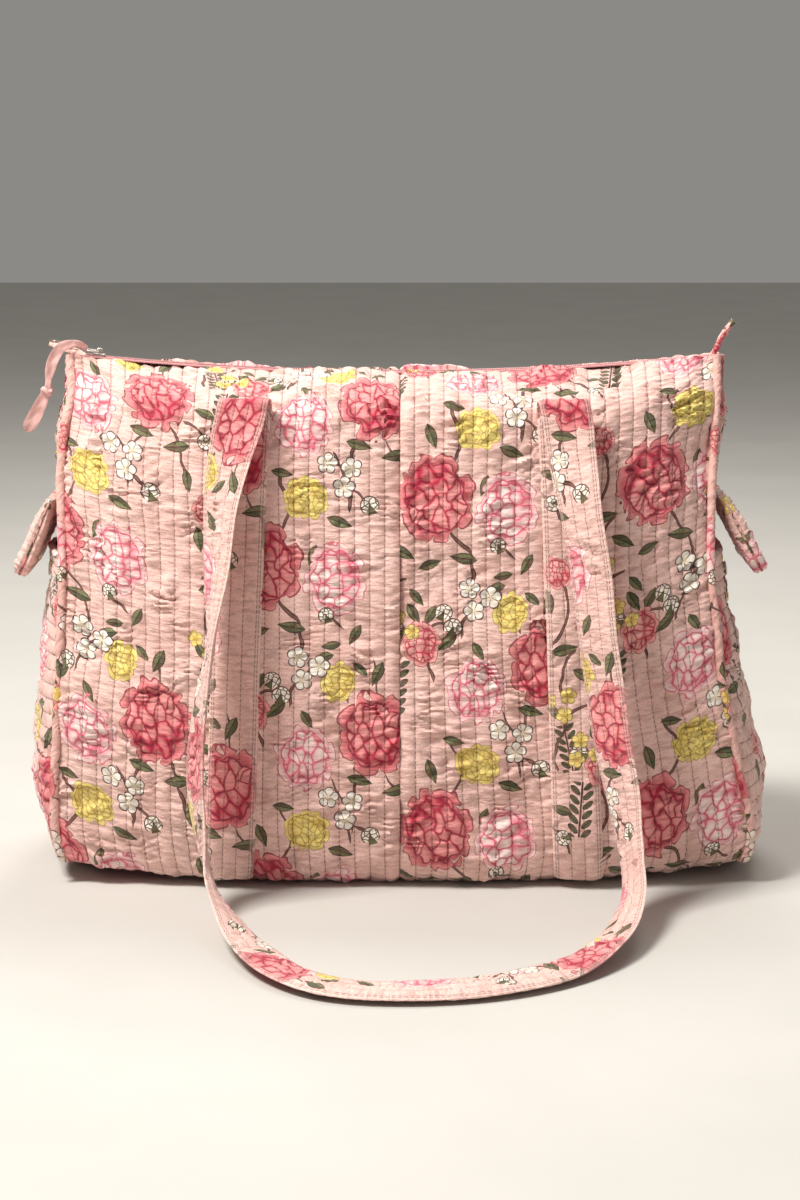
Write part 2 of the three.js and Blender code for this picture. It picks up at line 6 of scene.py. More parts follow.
import bpy
import numpy as np
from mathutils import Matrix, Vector


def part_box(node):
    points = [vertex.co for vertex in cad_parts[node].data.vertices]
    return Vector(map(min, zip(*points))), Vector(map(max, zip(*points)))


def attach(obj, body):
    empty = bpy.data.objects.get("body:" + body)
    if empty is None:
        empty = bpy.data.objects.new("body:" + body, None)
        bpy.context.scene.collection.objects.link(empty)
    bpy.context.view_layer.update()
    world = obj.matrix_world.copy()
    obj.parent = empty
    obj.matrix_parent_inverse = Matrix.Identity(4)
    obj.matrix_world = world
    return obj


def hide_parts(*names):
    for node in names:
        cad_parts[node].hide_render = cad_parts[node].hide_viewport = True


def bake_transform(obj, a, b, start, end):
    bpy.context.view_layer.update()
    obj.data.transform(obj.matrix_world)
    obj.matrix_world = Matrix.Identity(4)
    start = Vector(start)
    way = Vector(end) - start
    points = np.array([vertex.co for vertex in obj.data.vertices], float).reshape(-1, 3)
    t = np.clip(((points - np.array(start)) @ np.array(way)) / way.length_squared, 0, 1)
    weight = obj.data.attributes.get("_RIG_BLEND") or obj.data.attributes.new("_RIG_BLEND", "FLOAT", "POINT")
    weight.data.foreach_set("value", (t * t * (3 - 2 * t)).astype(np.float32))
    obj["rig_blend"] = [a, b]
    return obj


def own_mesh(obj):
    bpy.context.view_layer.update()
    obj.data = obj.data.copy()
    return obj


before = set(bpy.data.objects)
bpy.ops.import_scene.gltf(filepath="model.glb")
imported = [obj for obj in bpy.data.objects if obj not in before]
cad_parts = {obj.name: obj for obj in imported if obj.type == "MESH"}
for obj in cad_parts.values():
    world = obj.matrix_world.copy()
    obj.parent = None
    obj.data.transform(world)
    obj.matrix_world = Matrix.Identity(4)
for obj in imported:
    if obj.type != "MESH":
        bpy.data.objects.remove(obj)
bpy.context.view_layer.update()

MM = 0.001

# ---- Camera ----
CAMERA_PLACE = (0, -1.975, 0.516)
CAMERA_TILT = 9.6  # degrees below the horizon
CAMERA_LENS = 86.1


def add_camera():
    camera = bpy.data.objects.new("camera", bpy.data.cameras.new("camera"))
    bpy.context.scene.collection.objects.link(camera)
    camera.data.lens = CAMERA_LENS
    camera.location = CAMERA_PLACE
    camera.rotation_euler = (math.radians(90 - CAMERA_TILT), 0, 0)
    bpy.context.scene.camera = camera


add_camera()

# ---- The bag's outline, as in the frame ----
# Half depth and height of the wall in the middle of the bag and along its piped side seams.
MIDDLE_OUTLINE = [[72, 0], [90, 9], [99, 30], [103, 66], [104, 108], [102, 150], [99, 192],
                  [95, 232], [90.5, 268], [85, 300], [76, 324], [46, 337], [8, 341.5]]
SEAM_OUTLINE = [[72, 0], [79, 12], [82, 34], [82, 68], [79, 108], [74, 150], [67, 192],
                [57, 232], [46, 268], [34, 300], [22, 326], [14, 342], [9.5, 353.5]]
# Distance from the middle to each side seam, as [height, distance].
LEFT_REACH = [[0, 226], [40, 233], [110, 231], [170, 228], [240, 228], [270, 229.5], [300, 228],
              [325, 223.5], [354, 225.5]]
RIGHT_REACH = [[0, 232], [33, 237], [80, 228], [150, 215], [240, 209], [300, 213], [354, 217]]
# How far a side wall swells past its seams, and how far its pocket stands off it, by height.
SIDE_SWELL = [[0, 3], [40, 8], [110, 9], [180, 4], [230, 2], [262, 3], [295, 9], [325, 11], [354, 6]]
POCKET_STANDOFF = [[0, 1], [25, 3], [60, 9], [120, 10.5], [185, 9.5], [222, 7.5]]
FRONT_FULLNESS = 3.5
TOP_FULLNESS = 2
SHOULDER_ROW = 10 / 12  # where the upper walls fold open, as a share of the outline
MOUTH_HALF_WIDTH = 195
ZIP_LOW_POINT = 341.5
ZIP_ARC_RADIUS = 2100

# ---- Cloth ----
QUILT = 5.0  # thickness of the quilted walls
LINING = 0.8
LINING_INSET = 6.2  # the lining hangs this far inside the walls' outer face
STITCH_GAP = 10.0  # between two rows of quilting
CHANNEL = (0, 0.1, 0.35, 0.65, 0.9)  # where a channel of quilting gets its points, as shares of its width
PUFF = 0.95  # how far the cloth swells between two rows of stitches
PUCKER = 0.9
PUCKER_GAP = 6.2
SAG = 1.5  # broad hollows in the walls
DENT = 0.9  # smaller ones
ROW_STEP = 1.5
STRAP_WIDTH = 33.0
STRAP_STITCH_GAP = 9.0
STRAP_FOLD = 13.2  # a strap's edges are folded over this far from its middle
SEAM_SINK = 1.6  # how far cloth dips into a seam
SEAM_SINK_WIDTH = 3.0
FLOOR_CLEARANCE = 0.15
CORNER_LIFT = 15.0
CORNER_LIFT_ROWS = 0.14  # the share of the outline over which a lifted corner fades out

# ---- Print: a repeat of two mirrored groups of flowers, in millimetres ----
REPEAT_WIDTH = 146
REPEAT_HEIGHT = 224
GROUP_A = (36.5, 56)
GROUP_B = (109.5, 168)
CRIMSON, BLUSH, YELLOW, CORAL = 0, 1, 2, 3
# Ruffled flowers: group, offset from the group's middle, radius, turn in degrees, kind.
FLOWERS = [(GROUP_A, 0, 0, 25, 20, CRIMSON), (GROUP_A, -47, -16, 20, 0, BLUSH),
           (GROUP_A, -24, 36, 12, 70, YELLOW), (GROUP_A, -42, -67, 12, 160, YELLOW),
           (GROUP_B, 0, 0, 26, 200, CRIMSON), (GROUP_B, 47, -8, 21, 110, BLUSH),
           (GROUP_B, 25, 46, 12.5, 250, YELLOW), (GROUP_B, -10, -97, 13, 90, CORAL),
           (GROUP_B, -38, 33, 10, 30, CORAL)]
FLOWER_STRETCH = 0.86  # flowers are taller than they are wide
WHITE, GOLD = 0, 1
BLOSSOMS = [(GROUP_A, -31, -43, 7.5, 10, WHITE), (GROUP_A, -15, -46, 7.5, 50, WHITE),
            (GROUP_A, -20, -59, 8, 25, WHITE),
            (GROUP_B, 22, -60, 7.5, 5, WHITE), (GROUP_B, 36, -66, 8, 40, WHITE),
            (GROUP_B, 25, -75, 7.5, 60, WHITE),
            (GROUP_A, 47, 33, 6, 15, GOLD), (GROUP_A, 57, 23, 5.5, 40, GOLD),
            (GROUP_A, 44, 20, 6, 0, GOLD), (GROUP_B, -36, -62, 6, 30, GOLD),
            (GROUP_B, -46, -52, 5.5, 0, GOLD), (GROUP_B, -33, -49, 6, 55, GOLD)]
LEAVES = [(GROUP_A, 14, -38, 9.5, 10, 0), (GROUP_A, -10, -31, 9, 165, 0), (GROUP_A, -66, 16, 9, 40, 0),
          (GROUP_A, 2, 41, 9, 65, 0), (GROUP_A, -9, 44, 7, 140, 0), (GROUP_A, 22, -60, 8, 100, 0),
          (GROUP_B, -35, -18, 9.5, 190, 0), (GROUP_B, -22, -36, 9, 150, 0), (GROUP_B, 18, -40, 9.5, -10, 0),
          (GROUP_B, -4, -44, 8, 200, 0), (GROUP_B, 50, 30, 9, 160, 0), (GROUP_B, -3, 41, 9, 110, 0),
          (GROUP_B, 60, -45, 8, 60, 0), (GROUP_B, -15, -77, 8.5, 120, 0), (GROUP_B, -4, -78, 8, 60, 0),
          (GROUP_A, 30, 53, 7, -60, 0), (GROUP_A, 33, -14, 8, -20, 0), (GROUP_A, -45, 10, 7.5, 120, 0),
          (GROUP_A, -34, 52, 8, 20, 0), (GROUP_B, 32, 8, 7.5, 70, 0), (GROUP_B, -44, 14, 8.5, 100, 0),
          (GROUP_B, 12, 62, 7.5, 170, 0), (GROUP_B, 44, -52, 7, 10, 0), (GROUP_A, 60, 46, 7.5, 130, 0)]
BUDS = [(GROUP_A, -3, -71, 6.5, 20, 0), (GROUP_B, 11, -86, 6.5, -15, 0), (GROUP_B, -27, -88, 6.5, 60, 0),
        (GROUP_A, 34, -33, 5.5, 100, 0), (GROUP_B, 41, -32, 5.5, 20, 0), (GROUP_A, -68, 36, 6, -30, 0)]
# Leafy sprigs, listed as the flowers are.
SPRIGS = [(GROUP_A, 46, -14, 22, 84, 0), (GROUP_B, -34, -84, 19, 100, 0)]
# Stems: middle of an arc from its group's middle, radius, and the two angles in degrees it runs between.
STEMS = [(GROUP_A, -22, -80, 20, 20, 78), (GROUP_A, -30, -58, 50, -5, 45), (GROUP_A, -30, 34, 32, -14, 22),
         (GROUP_A, 14, -42, 22, 0, 80), (GROUP_B, -8, -42, 30, 130, 190), (GROUP_B, -8, 44, 26, -50, 10),
         (GROUP_B, 2, -110, 25, 60, 120), (GROUP_B, -40, -120, 36, 5, 40), (GROUP_B, 60, -20, 22, 190, 250),
         (GROUP_A, 24, -56, 42, 135, 200), (GROUP_A, -60, -66, 44, -12, 42), (GROUP_A, 64, 24, 34, 110, 200),
         (GROUP_A, -44, 22, 26, 0, 80), (GROUP_B, -20, -58, 46, -12, 60), (GROUP_B, 58, -98, 42, 120, 175),
         (GROUP_B, -62, 10, 30, -50, 30), (GROUP_B, 38, 68, 30, 190, 270), (GROUP_B, -48, -112, 36, 0, 62)]
STEM_HALF_WIDTH = 1.0


# ---- Curves ----
def lerp(a, b, share):
    return a + (b - a) * share


def smoothstep(value, start, end):
    share = np.clip((value - start) / (end - start), 0, 1)
    return share * share * (3 - 2 * share)


def unit(vectors):
    return vectors / np.maximum(np.linalg.norm(vectors, axis=-1, keepdims=True), 1e-9)


def spline(points, share):
    """An evenly paced Catmull-Rom curve through points, at shares from 0 to 1."""
    points = np.asarray(points, float)
    last = len(points) - 1
    place = np.clip(share, 0, 1) * last
    first = np.minimum(place.astype(int), last - 1)
    t = (place - first)[..., None]
    before = points[np.maximum(first - 1, 0)]
    start = points[first]
    end = points[first + 1]
    after = points[np.minimum(first + 2, last)]
    out = (end - before) / 2
    into = (after - start) / 2
    cubic = 2 * start - 2 * end + out + into
    square = 3 * end - 3 * start - 2 * out - into
    return cubic * t**3 + square * t**2 + out * t + start


def hermite(knots, values, at):
    """A smooth curve through values at knots; values may be numbers or points."""
    knots = np.asarray(knots, float)
    values = np.asarray(values, float)
    slopes = np.gradient(values, knots, axis=0)
    at = np.clip(at, knots[0], knots[-1])
    first = np.clip(np.searchsorted(knots, at, side="right") - 1, 0, len(knots) - 2)
    gap = knots[first + 1] - knots[first]
    t = (at - knots[first]) / gap
    if values.ndim > 1:
        gap = gap[..., None]
        t = t[..., None]
    return ((1 + 2 * t) * (1 - t) ** 2 * values[first] + t * (1 - t) ** 2 * gap * slopes[first]
            + t * t * (3 - 2 * t) * values[first + 1] + t * t * (t - 1) * gap * slopes[first + 1])


def table(pairs, at):
    positions, values = zip(*pairs)
    return hermite(positions, values, at)


def waves(a, b, seed, size):
    """Smooth, repeatable unevenness of about 1 either way, whose swells lie about size apart."""
    random = np.random.default_rng(seed)
    count = 7
    total = 0
    for _ in range(count):
        angle = random.uniform(0, 2 * math.pi)
        pace = 2 * math.pi / (size * random.uniform(0.7, 1.7))
        phase = random.uniform(0, 2 * math.pi)
        total = total + np.sin((a * math.cos(angle) + b * math.sin(angle)) * pace + phase)
    return total / math.sqrt(count)


# ---- The bag's surface ----
def reach_at(side, height):
    return table(LEFT_REACH if side < 0 else RIGHT_REACH, height)


def corner_lift(share_x, share_y, row):
    """How far the soft bottom corners stand off the ground; both shares are 1 at a corner."""
    return CORNER_LIFT * np.abs(share_x) ** 3 * share_y**2 * (1 - smoothstep(row, 0, CORNER_LIFT_ROWS))


def wall_points(side, share, row, facing):
    """Points on half of the front (facing -1) or back (1); share is 0 in the middle and 1 at the seam."""
    middle = spline(MIDDLE_OUTLINE, row)
    seam = spline(SEAM_OUTLINE, row)
    reach = reach_at(side, seam[..., 1])
    fullness = lerp(FRONT_FULLNESS, TOP_FULLNESS, smoothstep(row, SHOULDER_ROW, 1))
    blend = 1 - share**fullness
    y = facing * lerp(seam[..., 0], middle[..., 0], blend)
    z = lerp(seam[..., 1], middle[..., 1], blend) + corner_lift(share, 1.0, row)
    return np.stack([side * share * reach, y, z], axis=-1)


def side_points(side, across, row, standoff=0.0):
    """Points on a side wall; across runs from -1 at the front seam to 1 at the back seam."""
    seam = spline(SEAM_OUTLINE, row)
    height = seam[..., 1]
    swell = table(SIDE_SWELL, height) + standoff * table(POCKET_STANDOFF, height)
    x = side * (reach_at(side, height) + swell * (1 - across**2))
    return np.stack([x, across * seam[..., 0], height + corner_lift(1.0, across, row)], axis=-1)


def zip_height(x):
    return ZIP_LOW_POINT + ZIP_ARC_RADIUS - np.sqrt(ZIP_ARC_RADIUS**2 - x**2)


# ---- Shapes ----
class Shape:
    """Points in millimetres and faces, with each point's place on the printed cloth and on its quilting."""

    def __init__(self, points, faces, cloth=None, quilt=None):
        self.points = np.asarray(points, float).reshape(-1, 3)
        self.faces = [tuple(int(i) for i in face) for face in faces]
        flat = self.points[:, :2]
        self.cloth = flat if cloth is None else np.asarray(cloth, float).reshape(-1, 2)
        self.quilt = self.cloth if quilt is None else np.asarray(quilt, float).reshape(-1, 2)

    def facing_out(self):
        volume = 0.0
        for face in self.faces:
            corners = self.points[list(face)]
            for k in range(1, len(face) - 1):
                volume += np.dot(corners[0], np.cross(corners[k], corners[k + 1]))
        if volume < 0:
            self.faces = [face[::-1] for face in self.faces]
        return self


def joined(shapes):
    points, faces, cloth, quilt = [], [], [], []
    count = 0
    for shape in shapes:
        points.append(shape.points)
        cloth.append(shape.cloth)
        quilt.append(shape.quilt)
        faces += [tuple(i + count for i in face) for face in shape.faces]
        count += len(shape.points)
    return Shape(np.concatenate(points), faces, np.concatenate(cloth), np.concatenate(quilt))


def grid_normals(points):
    return unit(np.cross(np.gradient(points, axis=1), np.gradient(points, axis=0)))


def grid_length(points, axis):
    """How far each point of a grid lies from its first row (axis 0) or column (axis 1), along the cloth."""
    steps = np.linalg.norm(np.diff(points, axis=axis), axis=-1)
    start = np.zeros_like(np.take(steps, [0], axis=axis))
    return np.cumsum(np.concatenate([start, steps], axis=axis), axis=axis)


def cloth_between(outer, inner, cloth, quilt):
    """The closed piece between two grids of points."""
    rows, columns = outer.shape[:2]
    count = rows * columns
    index = np.arange(count).reshape(rows, columns)
    front = np.stack([index[:-1, :-1], index[:-1, 1:], index[1:, 1:], index[1:, :-1]], axis=-1).reshape(-1, 4)
    back = front[:, ::-1] + count
    rim = np.concatenate([index[0, :-1], index[:-1, -1], index[-1, :0:-1], index[:0:-1, 0]])
    after = np.roll(rim, -1)
    edge = np.stack([after, rim, rim + count, after + count], axis=-1)
    shape = Shape([], [])
    shape.points = np.concatenate([outer.reshape(-1, 3), inner.reshape(-1, 3)])
    faces = np.concatenate([front, back, edge])
    corners = shape.points[faces]
    volume = np.einsum("ij,ij->", corners[:, 0], np.cross(corners[:, 1], corners[:, 2]))
    volume += np.einsum("ij,ij->", corners[:, 0], np.cross(corners[:, 2], corners[:, 3]))
    shape.faces = faces[:, ::-1] if volume < 0 else faces
    shape.cloth = np.tile(cloth.reshape(-1, 2), (2, 1))
    shape.quilt = np.tile(quilt.reshape(-1, 2), (2, 1))
    return shape


def tube(path, radius, sides=8, closed=False, bias=False):
    """A round tube along a path of points; radius may change along it."""
    path = np.asarray(path, float)
    if closed:
        tangents = unit(np.roll(path, -1, axis=0) - np.roll(path, 1, axis=0))
    else:
        tangents = unit(np.gradient(path, axis=0))
    count = len(path)
    radii = np.broadcast_to(np.asarray(radius, float), (count,))
    helper = np.eye(3)[np.argmin(np.abs(tangents[0]))]
    normal = unit(np.cross(tangents[0], helper))
    normals = []
    for tangent in tangents:
        normal = unit(normal - tangent * np.dot(normal, tangent))
        normals.append(normal)
    normals = np.array(normals)
    binormals = np.cross(tangents, normals)
    angles = np.arange(sides) * 2 * math.pi / sides
    ring = np.cos(angles)[None, :, None] * normals[:, None]
    ring = ring + np.sin(angles)[None, :, None] * binormals[:, None]
    points = path[:, None] + ring * radii[:, None, None]
    faces = []
    for i in range(count if closed else count - 1):
        here = i * sides
        following = (i + 1) % count * sides
        for k in range(sides):
            turned = (k + 1) % sides
            faces.append((here + k, here + turned, following + turned, following + k))
    if not closed:
        faces.append(tuple(range(sides))[::-1])
        faces.append(tuple((count - 1) * sides + k for k in range(sides)))
    along = grid_length(path[:, None], 0)
    around = angles[None, :] * radii[:, None]
    cloth = np.stack([around + 0 * along, along + 0 * around], axis=-1)
    if bias:
        around, along = cloth[..., 0], cloth[..., 1]
        cloth = np.stack([around + along, along - around], axis=-1) / math.sqrt(2)
    return Shape(points, faces, cloth)


def rounded_block(centre, size, sides=16, squareness=5.0):
    """A block with soft edges and corners."""
    across = np.linspace(0, 2 * math.pi, sides * 2, endpoint=False)
    up = np.linspace(-math.pi / 2, math.pi / 2, sides + 1)[1:-1]

    def swollen(value):
        return np.sign(value) * np.abs(value) ** (2 / squareness)

    x = swollen(np.cos(up))[:, None] * swollen(np.cos(across))[None, :]
    y = swollen(np.cos(up))[:, None] * swollen(np.sin(across))[None, :]
    z = swollen(np.sin(up))[:, None] + 0 * x
    points = np.stack([x, y, z], axis=-1) * np.array(size) / 2 + np.array(centre)
    return ring_stack(points)


def ring_stack(rings):
    """The closed skin through a stack of rings of points."""
    count, sides = rings.shape[:2]
    faces = [tuple(range(sides))[::-1], tuple((count - 1) * sides + k for k in range(sides))]
    for here in range(0, (count - 1) * sides, sides):
        for k in range(sides):
            turned = (k + 1) % sides
            faces.append((here + k, here + turned, here + sides + turned, here + sides + k))
    return Shape(rings.reshape(-1, 3), faces).facing_out()


def add_piece(name, shape, material):
    mesh = bpy.data.meshes.new(name)
    mesh.from_pydata(shape.points * MM, [], shape.faces)
    corners = np.empty(len(mesh.loops), dtype=np.int32)
    mesh.loops.foreach_get("vertex_index", corners)
    for label, places in (("cloth", shape.cloth), ("quilt", shape.quilt)):
        layer = mesh.uv_layers.new(name=label)
        layer.data.foreach_set("uv", places[corners].astype(np.float32).ravel())
    mesh.shade_smooth()
    mesh.set_sharp_from_angle(angle=math.radians(55))
    mesh.materials.append(material)
    piece = bpy.data.objects.new(name, mesh)
    bpy.context.scene.collection.objects.link(piece)
    return piece


def bend(piece, fixed, moving, weights):
    """Bends a piece between two bodies, by a weight from 0 to 1 for each of its points."""
    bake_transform(piece, fixed, moving, start=(0, 0, 0), end=(0, 0, 1))
    attribute = piece.data.attributes["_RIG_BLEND"]
    attribute.data.foreach_set("value", np.asarray(weights, np.float32).ravel())


# ---- Shader building ----
class Signal:
    """A number that changes over a surface, which adds, multiplies and compares like a plain number."""

    def __init__(self, graph, socket):
        self.graph = graph
        self.socket = socket

    def __add__(self, other):
        return self.graph.math("ADD", self, other)

    __radd__ = __add__

    def __sub__(self, other):
        return self.graph.math("SUBTRACT", self, other)

    def __rsub__(self, other):
        return self.graph.math("SUBTRACT", other, self)

    def __mul__(self, other):
        return self.graph.math("MULTIPLY", self, other)

    __rmul__ = __mul__

    def __truediv__(self, other):
        return self.graph.math("DIVIDE", self, other)

    def __pow__(self, other):
        return self.graph.math("POWER", self, other)

    def __lt__(self, other):
        return self.graph.math("LESS_THAN", self, other)

    def __gt__(self, other):
        return self.graph.math("GREATER_THAN", self, other)

    def __abs__(self):
        return self.graph.math("ABSOLUTE", self)


class Graph:
    """Adds linked nodes to a material's or a group's tree."""

    def __init__(self, tree):
        self.tree = tree

    def node(self, kind, **settings):
        made = self.tree.nodes.new(kind)
        for key, value in settings.items():
            setattr(made, key, value)
        return made

    def feed(self, socket, value):
        if isinstance(value, Signal):
            value = value.socket
        if isinstance(value, bpy.types.NodeSocket):
            self.tree.links.new(value, socket)
        else:
            socket.default_value = value

    def math(self, operation, *values):
        made = self.node("ShaderNodeMath", operation=operation)
        for socket, value in zip(made.inputs, values):
            self.feed(socket, value)
        return Signal(self, made.outputs[0])

    def vector(self, operation, *values, scale=None):
        made = self.node("ShaderNodeVectorMath", operation=operation)
        for socket, value in zip(made.inputs, values):
            self.feed(socket, value)
        if scale is not None:
            self.feed(made.inputs["Scale"], scale)
        if operation in ("LENGTH", "DOT_PRODUCT"):
            return Signal(self, made.outputs["Value"])
        return made.outputs["Vector"]

    def parts(self, vector):
        made = self.node("ShaderNodeSeparateXYZ")
        self.feed(made.inputs[0], vector)
        return tuple(Signal(self, output) for output in made.outputs)

    def combine(self, x, y, z=0.0):
        made = self.node("ShaderNodeCombineXYZ")
        for socket, value in zip(made.inputs, (x, y, z)):
            self.feed(socket, value)
        return made.outputs[0]

    def mix(self, share, a, b, kind="RGBA"):
        made = self.node("ShaderNodeMix", data_type=kind)
        first, output = {"FLOAT": (2, 0), "VECTOR": (4, 1), "RGBA": (6, 2)}[kind]
        self.feed(made.inputs[0], share)
        self.feed(made.inputs[first], a)
        self.feed(made.inputs[first + 1], b)
        return made.outputs[output]

    def scaled(self, value, low, high, to_low=0.0, to_high=1.0):
        made = self.node("ShaderNodeMapRange", interpolation_type="SMOOTHSTEP")
        for socket, given in zip(made.inputs, (value, low, high, to_low, to_high)):
            self.feed(socket, given)
        return Signal(self, made.outputs[0])

    def noise(self, place, scale, detail=2.0):
        made = self.node("ShaderNodeTexNoise", noise_dimensions="2D")
        self.feed(made.inputs["Vector"], place)
        made.inputs["Scale"].default_value = scale
        made.inputs["Detail"].default_value = detail
        return Signal(self, made.outputs[0])

    def steps(self, value, colours):
        """The colour of a whole-numbered kind, from a list."""
        made = self.node("ShaderNodeValToRGB")
        made.color_ramp.interpolation = "CONSTANT"
        elements = made.color_ramp.elements
        while len(elements) < len(colours):
            elements.new(1.0)
        for number, colour in enumerate(colours):
            elements[number].position = number / len(colours)
            elements[number].color = rgb(colour)
        self.feed(made.inputs[0], (value + 0.5) / len(colours))
        return made.outputs[0]


def rgb(code):
    """A linear colour from a hex code as seen on a screen."""
    shares = [((code >> shift) & 255) / 255 for shift in (16, 8, 0)]
    return (*[s / 12.92 if s <= 0.04045 else ((s + 0.055) / 1.055) ** 2.4 for s in shares], 1.0)


# ---- The floral print ----
def nearest(g, place, motifs, stretch=1.0):
    """Where place lies inside its nearest motif, in motif radii and turned upright, with the motif's kind."""
    near = share = facts = None
    for group, x, y, radius, turn, kind in motifs:
        apart = g.vector("SUBTRACT", place, (group[0] + x, group[1] + y, 0))
        half = (REPEAT_WIDTH / 2, REPEAT_HEIGHT / 2, 1)
        apart = g.vector("WRAP", apart, half, tuple(-size for size in half))
        apart = g.vector("MULTIPLY", apart, (1 / radius, stretch / radius, 0))
        distance = g.vector("LENGTH", apart)
        values = (kind, math.radians(turn), 0.37 * x + 0.61 * y)
        if near is None:
            near, share, facts = distance, apart, values
            continue
        closer = distance < near
        share = g.mix(closer, share, apart, "VECTOR")
        facts = g.mix(closer, facts, values, "VECTOR")
        near = g.math("MINIMUM", near, distance)
    kind, turn, seed = g.parts(facts)
    turned = g.node("ShaderNodeVectorRotate", rotation_type="Z_AXIS")
    g.feed(turned.inputs["Vector"], share)
    g.feed(turned.inputs["Angle"], turn * -1)
    return turned.outputs[0], near, kind, seed


PETAL_DARK = [0xC01F43, 0xE98996, 0xDEC05C, 0xD94F60]
PETAL_LIGHT = [0xF6A4A2, 0xFFEAE4, 0xF8E88C, 0xFABDB6]
PETAL_LINE = [0x861C36, 0xD05A70, 0x978346, 0x94323F]
OUTER_PETALS = 7
HEART = 0.7  # the share of a ruffled flower that its small, crowded petals fill
CROWDING = 2.7  # small petals across a flower's radius, near its middle
BUD_CROWDING = 1.9  # buds across a bud cluster's radius


def crowded_petals(g, place, crowding):
    """How near a place is to the line round its petal, and how far it is from the petal's middle."""
    cells = []
    for feature in ("DISTANCE_TO_EDGE", "F1"):
        made = g.node("ShaderNodeTexVoronoi", voronoi_dimensions="2D", feature=feature)
        g.feed(made.inputs["Vector"], place)
        made.inputs["Scale"].default_value = crowding
        made.inputs["Randomness"].default_value = 0.85
        cells.append(Signal(g, made.outputs["Distance"]))
    return cells


def ruffled_flowers(g, place, under):
    inside, _, kind, seed = nearest(g, place, FLOWERS, FLOWER_STRETCH)
    wobble = g.noise(g.vector("SCALE", place, scale=0.075), 1.0, 1.0) - 0.5
    wobble_more = g.noise(g.vector("SCALE", place, scale=0.13), 1.0, 0.0) - 0.5
    x, y, _ = g.parts(inside)
    x = x + wobble * 0.3
    y = y + wobble_more * 0.25
    radius = g.math("SQRT", x * x + y * y)
    angle = g.math("ARCTAN2", y, x) + wobble_more * 0.8
    swing = abs(g.math("SINE", angle * (OUTER_PETALS / 2) + seed))
    share = radius / ((swing ** 0.5) * 0.28 + 0.74)
    outer_line = g.math("MAXIMUM", g.scaled(share, 0.945, 0.985),
                        g.scaled(swing, 0.17, 0.05) * g.scaled(share, 0.5, 0.7))
    outer_tone = g.scaled(share, 0.65, 1.0) * 0.55 + swing * 0.3
    spread = g.combine(x * (1.5 - radius * 0.45) + seed, y * (1.15 - radius * 0.3) + seed * 1.7)
    edge, middle = crowded_petals(g, spread, CROWDING)
    inner_line = g.scaled(edge, 0.06, 0.02)
    inner_tone = 1.0 - middle * 0.6 - g.scaled(edge, 0.2, 0.0) * 0.35 - g.scaled(y, 0.1, -0.6) * 0.3
    heart = radius < (swing * 0.08 + HEART)
    rim = g.scaled(abs(radius - (swing * 0.08 + HEART)), 0.03, 0.012)
    tone = Signal(g, g.mix(heart, outer_tone, inner_tone, "FLOAT"))
    line = g.math("MAXIMUM", Signal(g, g.mix(heart, outer_line, inner_line, "FLOAT")), rim)
    veins = g.math("SINE", angle * 46 + wobble * 30) * 0.5 + 0.5
    tone = g.scaled(tone - veins * 0.08, 0.1, 0.95)
    petals = g.mix(tone, g.steps(kind, PETAL_DARK), g.steps(kind, PETAL_LIGHT))
    petals = g.mix(line * 0.9, petals, g.steps(kind, PETAL_LINE))
    return g.mix(share < 1, under, petals)


def small_blossoms(g, place, under):
    inside, near, kind, seed = nearest(g, place, BLOSSOMS)
    x, y, _ = g.parts(inside)
    angle = g.math("ARCTAN2", y, x)
    swing = abs(g.math("COSINE", angle * 2.5 + seed))
    share = near / ((swing ** 0.45) * 0.44 + 0.56)
    between = g.scaled(swing, 0.3, 0.1) * g.scaled(near, 0.02, 0.12)
    line = g.math("MAXIMUM", g.scaled(share, 0.84, 0.92), between)
    petals = g.mix(g.scaled(near, 0.1, 0.7), g.steps(kind, [0xEBDFC6, 0xDDBD5B]),
                   g.steps(kind, [0xFFFBF0, 0xF5E388]))
    petals = g.mix(line, petals, g.steps(kind, [0x45302B, 0xA88A3C]))
    return g.mix(share < 1, under, petals)


def bud_clusters(g, place, under):
    """Tight heads of small white buds, each in its green cup."""
    inside, near, _, seed = nearest(g, place, BUDS)
    x, y, _ = g.parts(inside)
    edge, _ = crowded_petals(g, g.combine(x + seed, y + seed), BUD_CROWDING)
    line = g.math("MAXIMUM", g.scaled(edge, 0.13, 0.06), g.scaled(near, 0.84, 0.92))
    head = g.mix(line, rgb(0xFBF4E4), rgb(0x43302A))
    cup_width = (0.25 - y) * 0.42
    cup = g.math("MULTIPLY", abs(x) < cup_width, g.math("MULTIPLY", y < 0.25, y > -1.3))
    cup_line = g.scaled(cup_width - abs(x), 0.14, 0.04)
    colour = g.mix(g.math("MULTIPLY", near < 1, y > -0.55), under, head)
    return g.mix(g.math("MULTIPLY", cup, y > -0.95), colour, g.mix(cup_line, rgb(0x59643F), rgb(0x2B2D22)))


def leaves(g, place, under):
    inside, *_ = nearest(g, place, LEAVES)
    x, y, _ = g.parts(inside)
    width = (1 - x * x) * (x * 0.12 + 0.4)
    share = abs(y) / g.math("MAXIMUM", width, 0.001)
    veins = g.math("SINE", (x * 2.2 + abs(y) * 2.2) * 8)
    line = g.math("MAXIMUM", g.scaled(share, 0.76, 0.88), g.scaled(abs(y), 0.05, 0.025))
    line = g.math("MAXIMUM", line, g.scaled(veins, 0.75, 0.95) * 0.5)
    blade = g.mix(y > 0, rgb(0x4E5A3C), rgb(0x757E55))
    blade = g.mix(line, blade, rgb(0x25291F))
    return g.mix(g.math("MULTIPLY", share < 1, abs(x) < 1), under, blade)


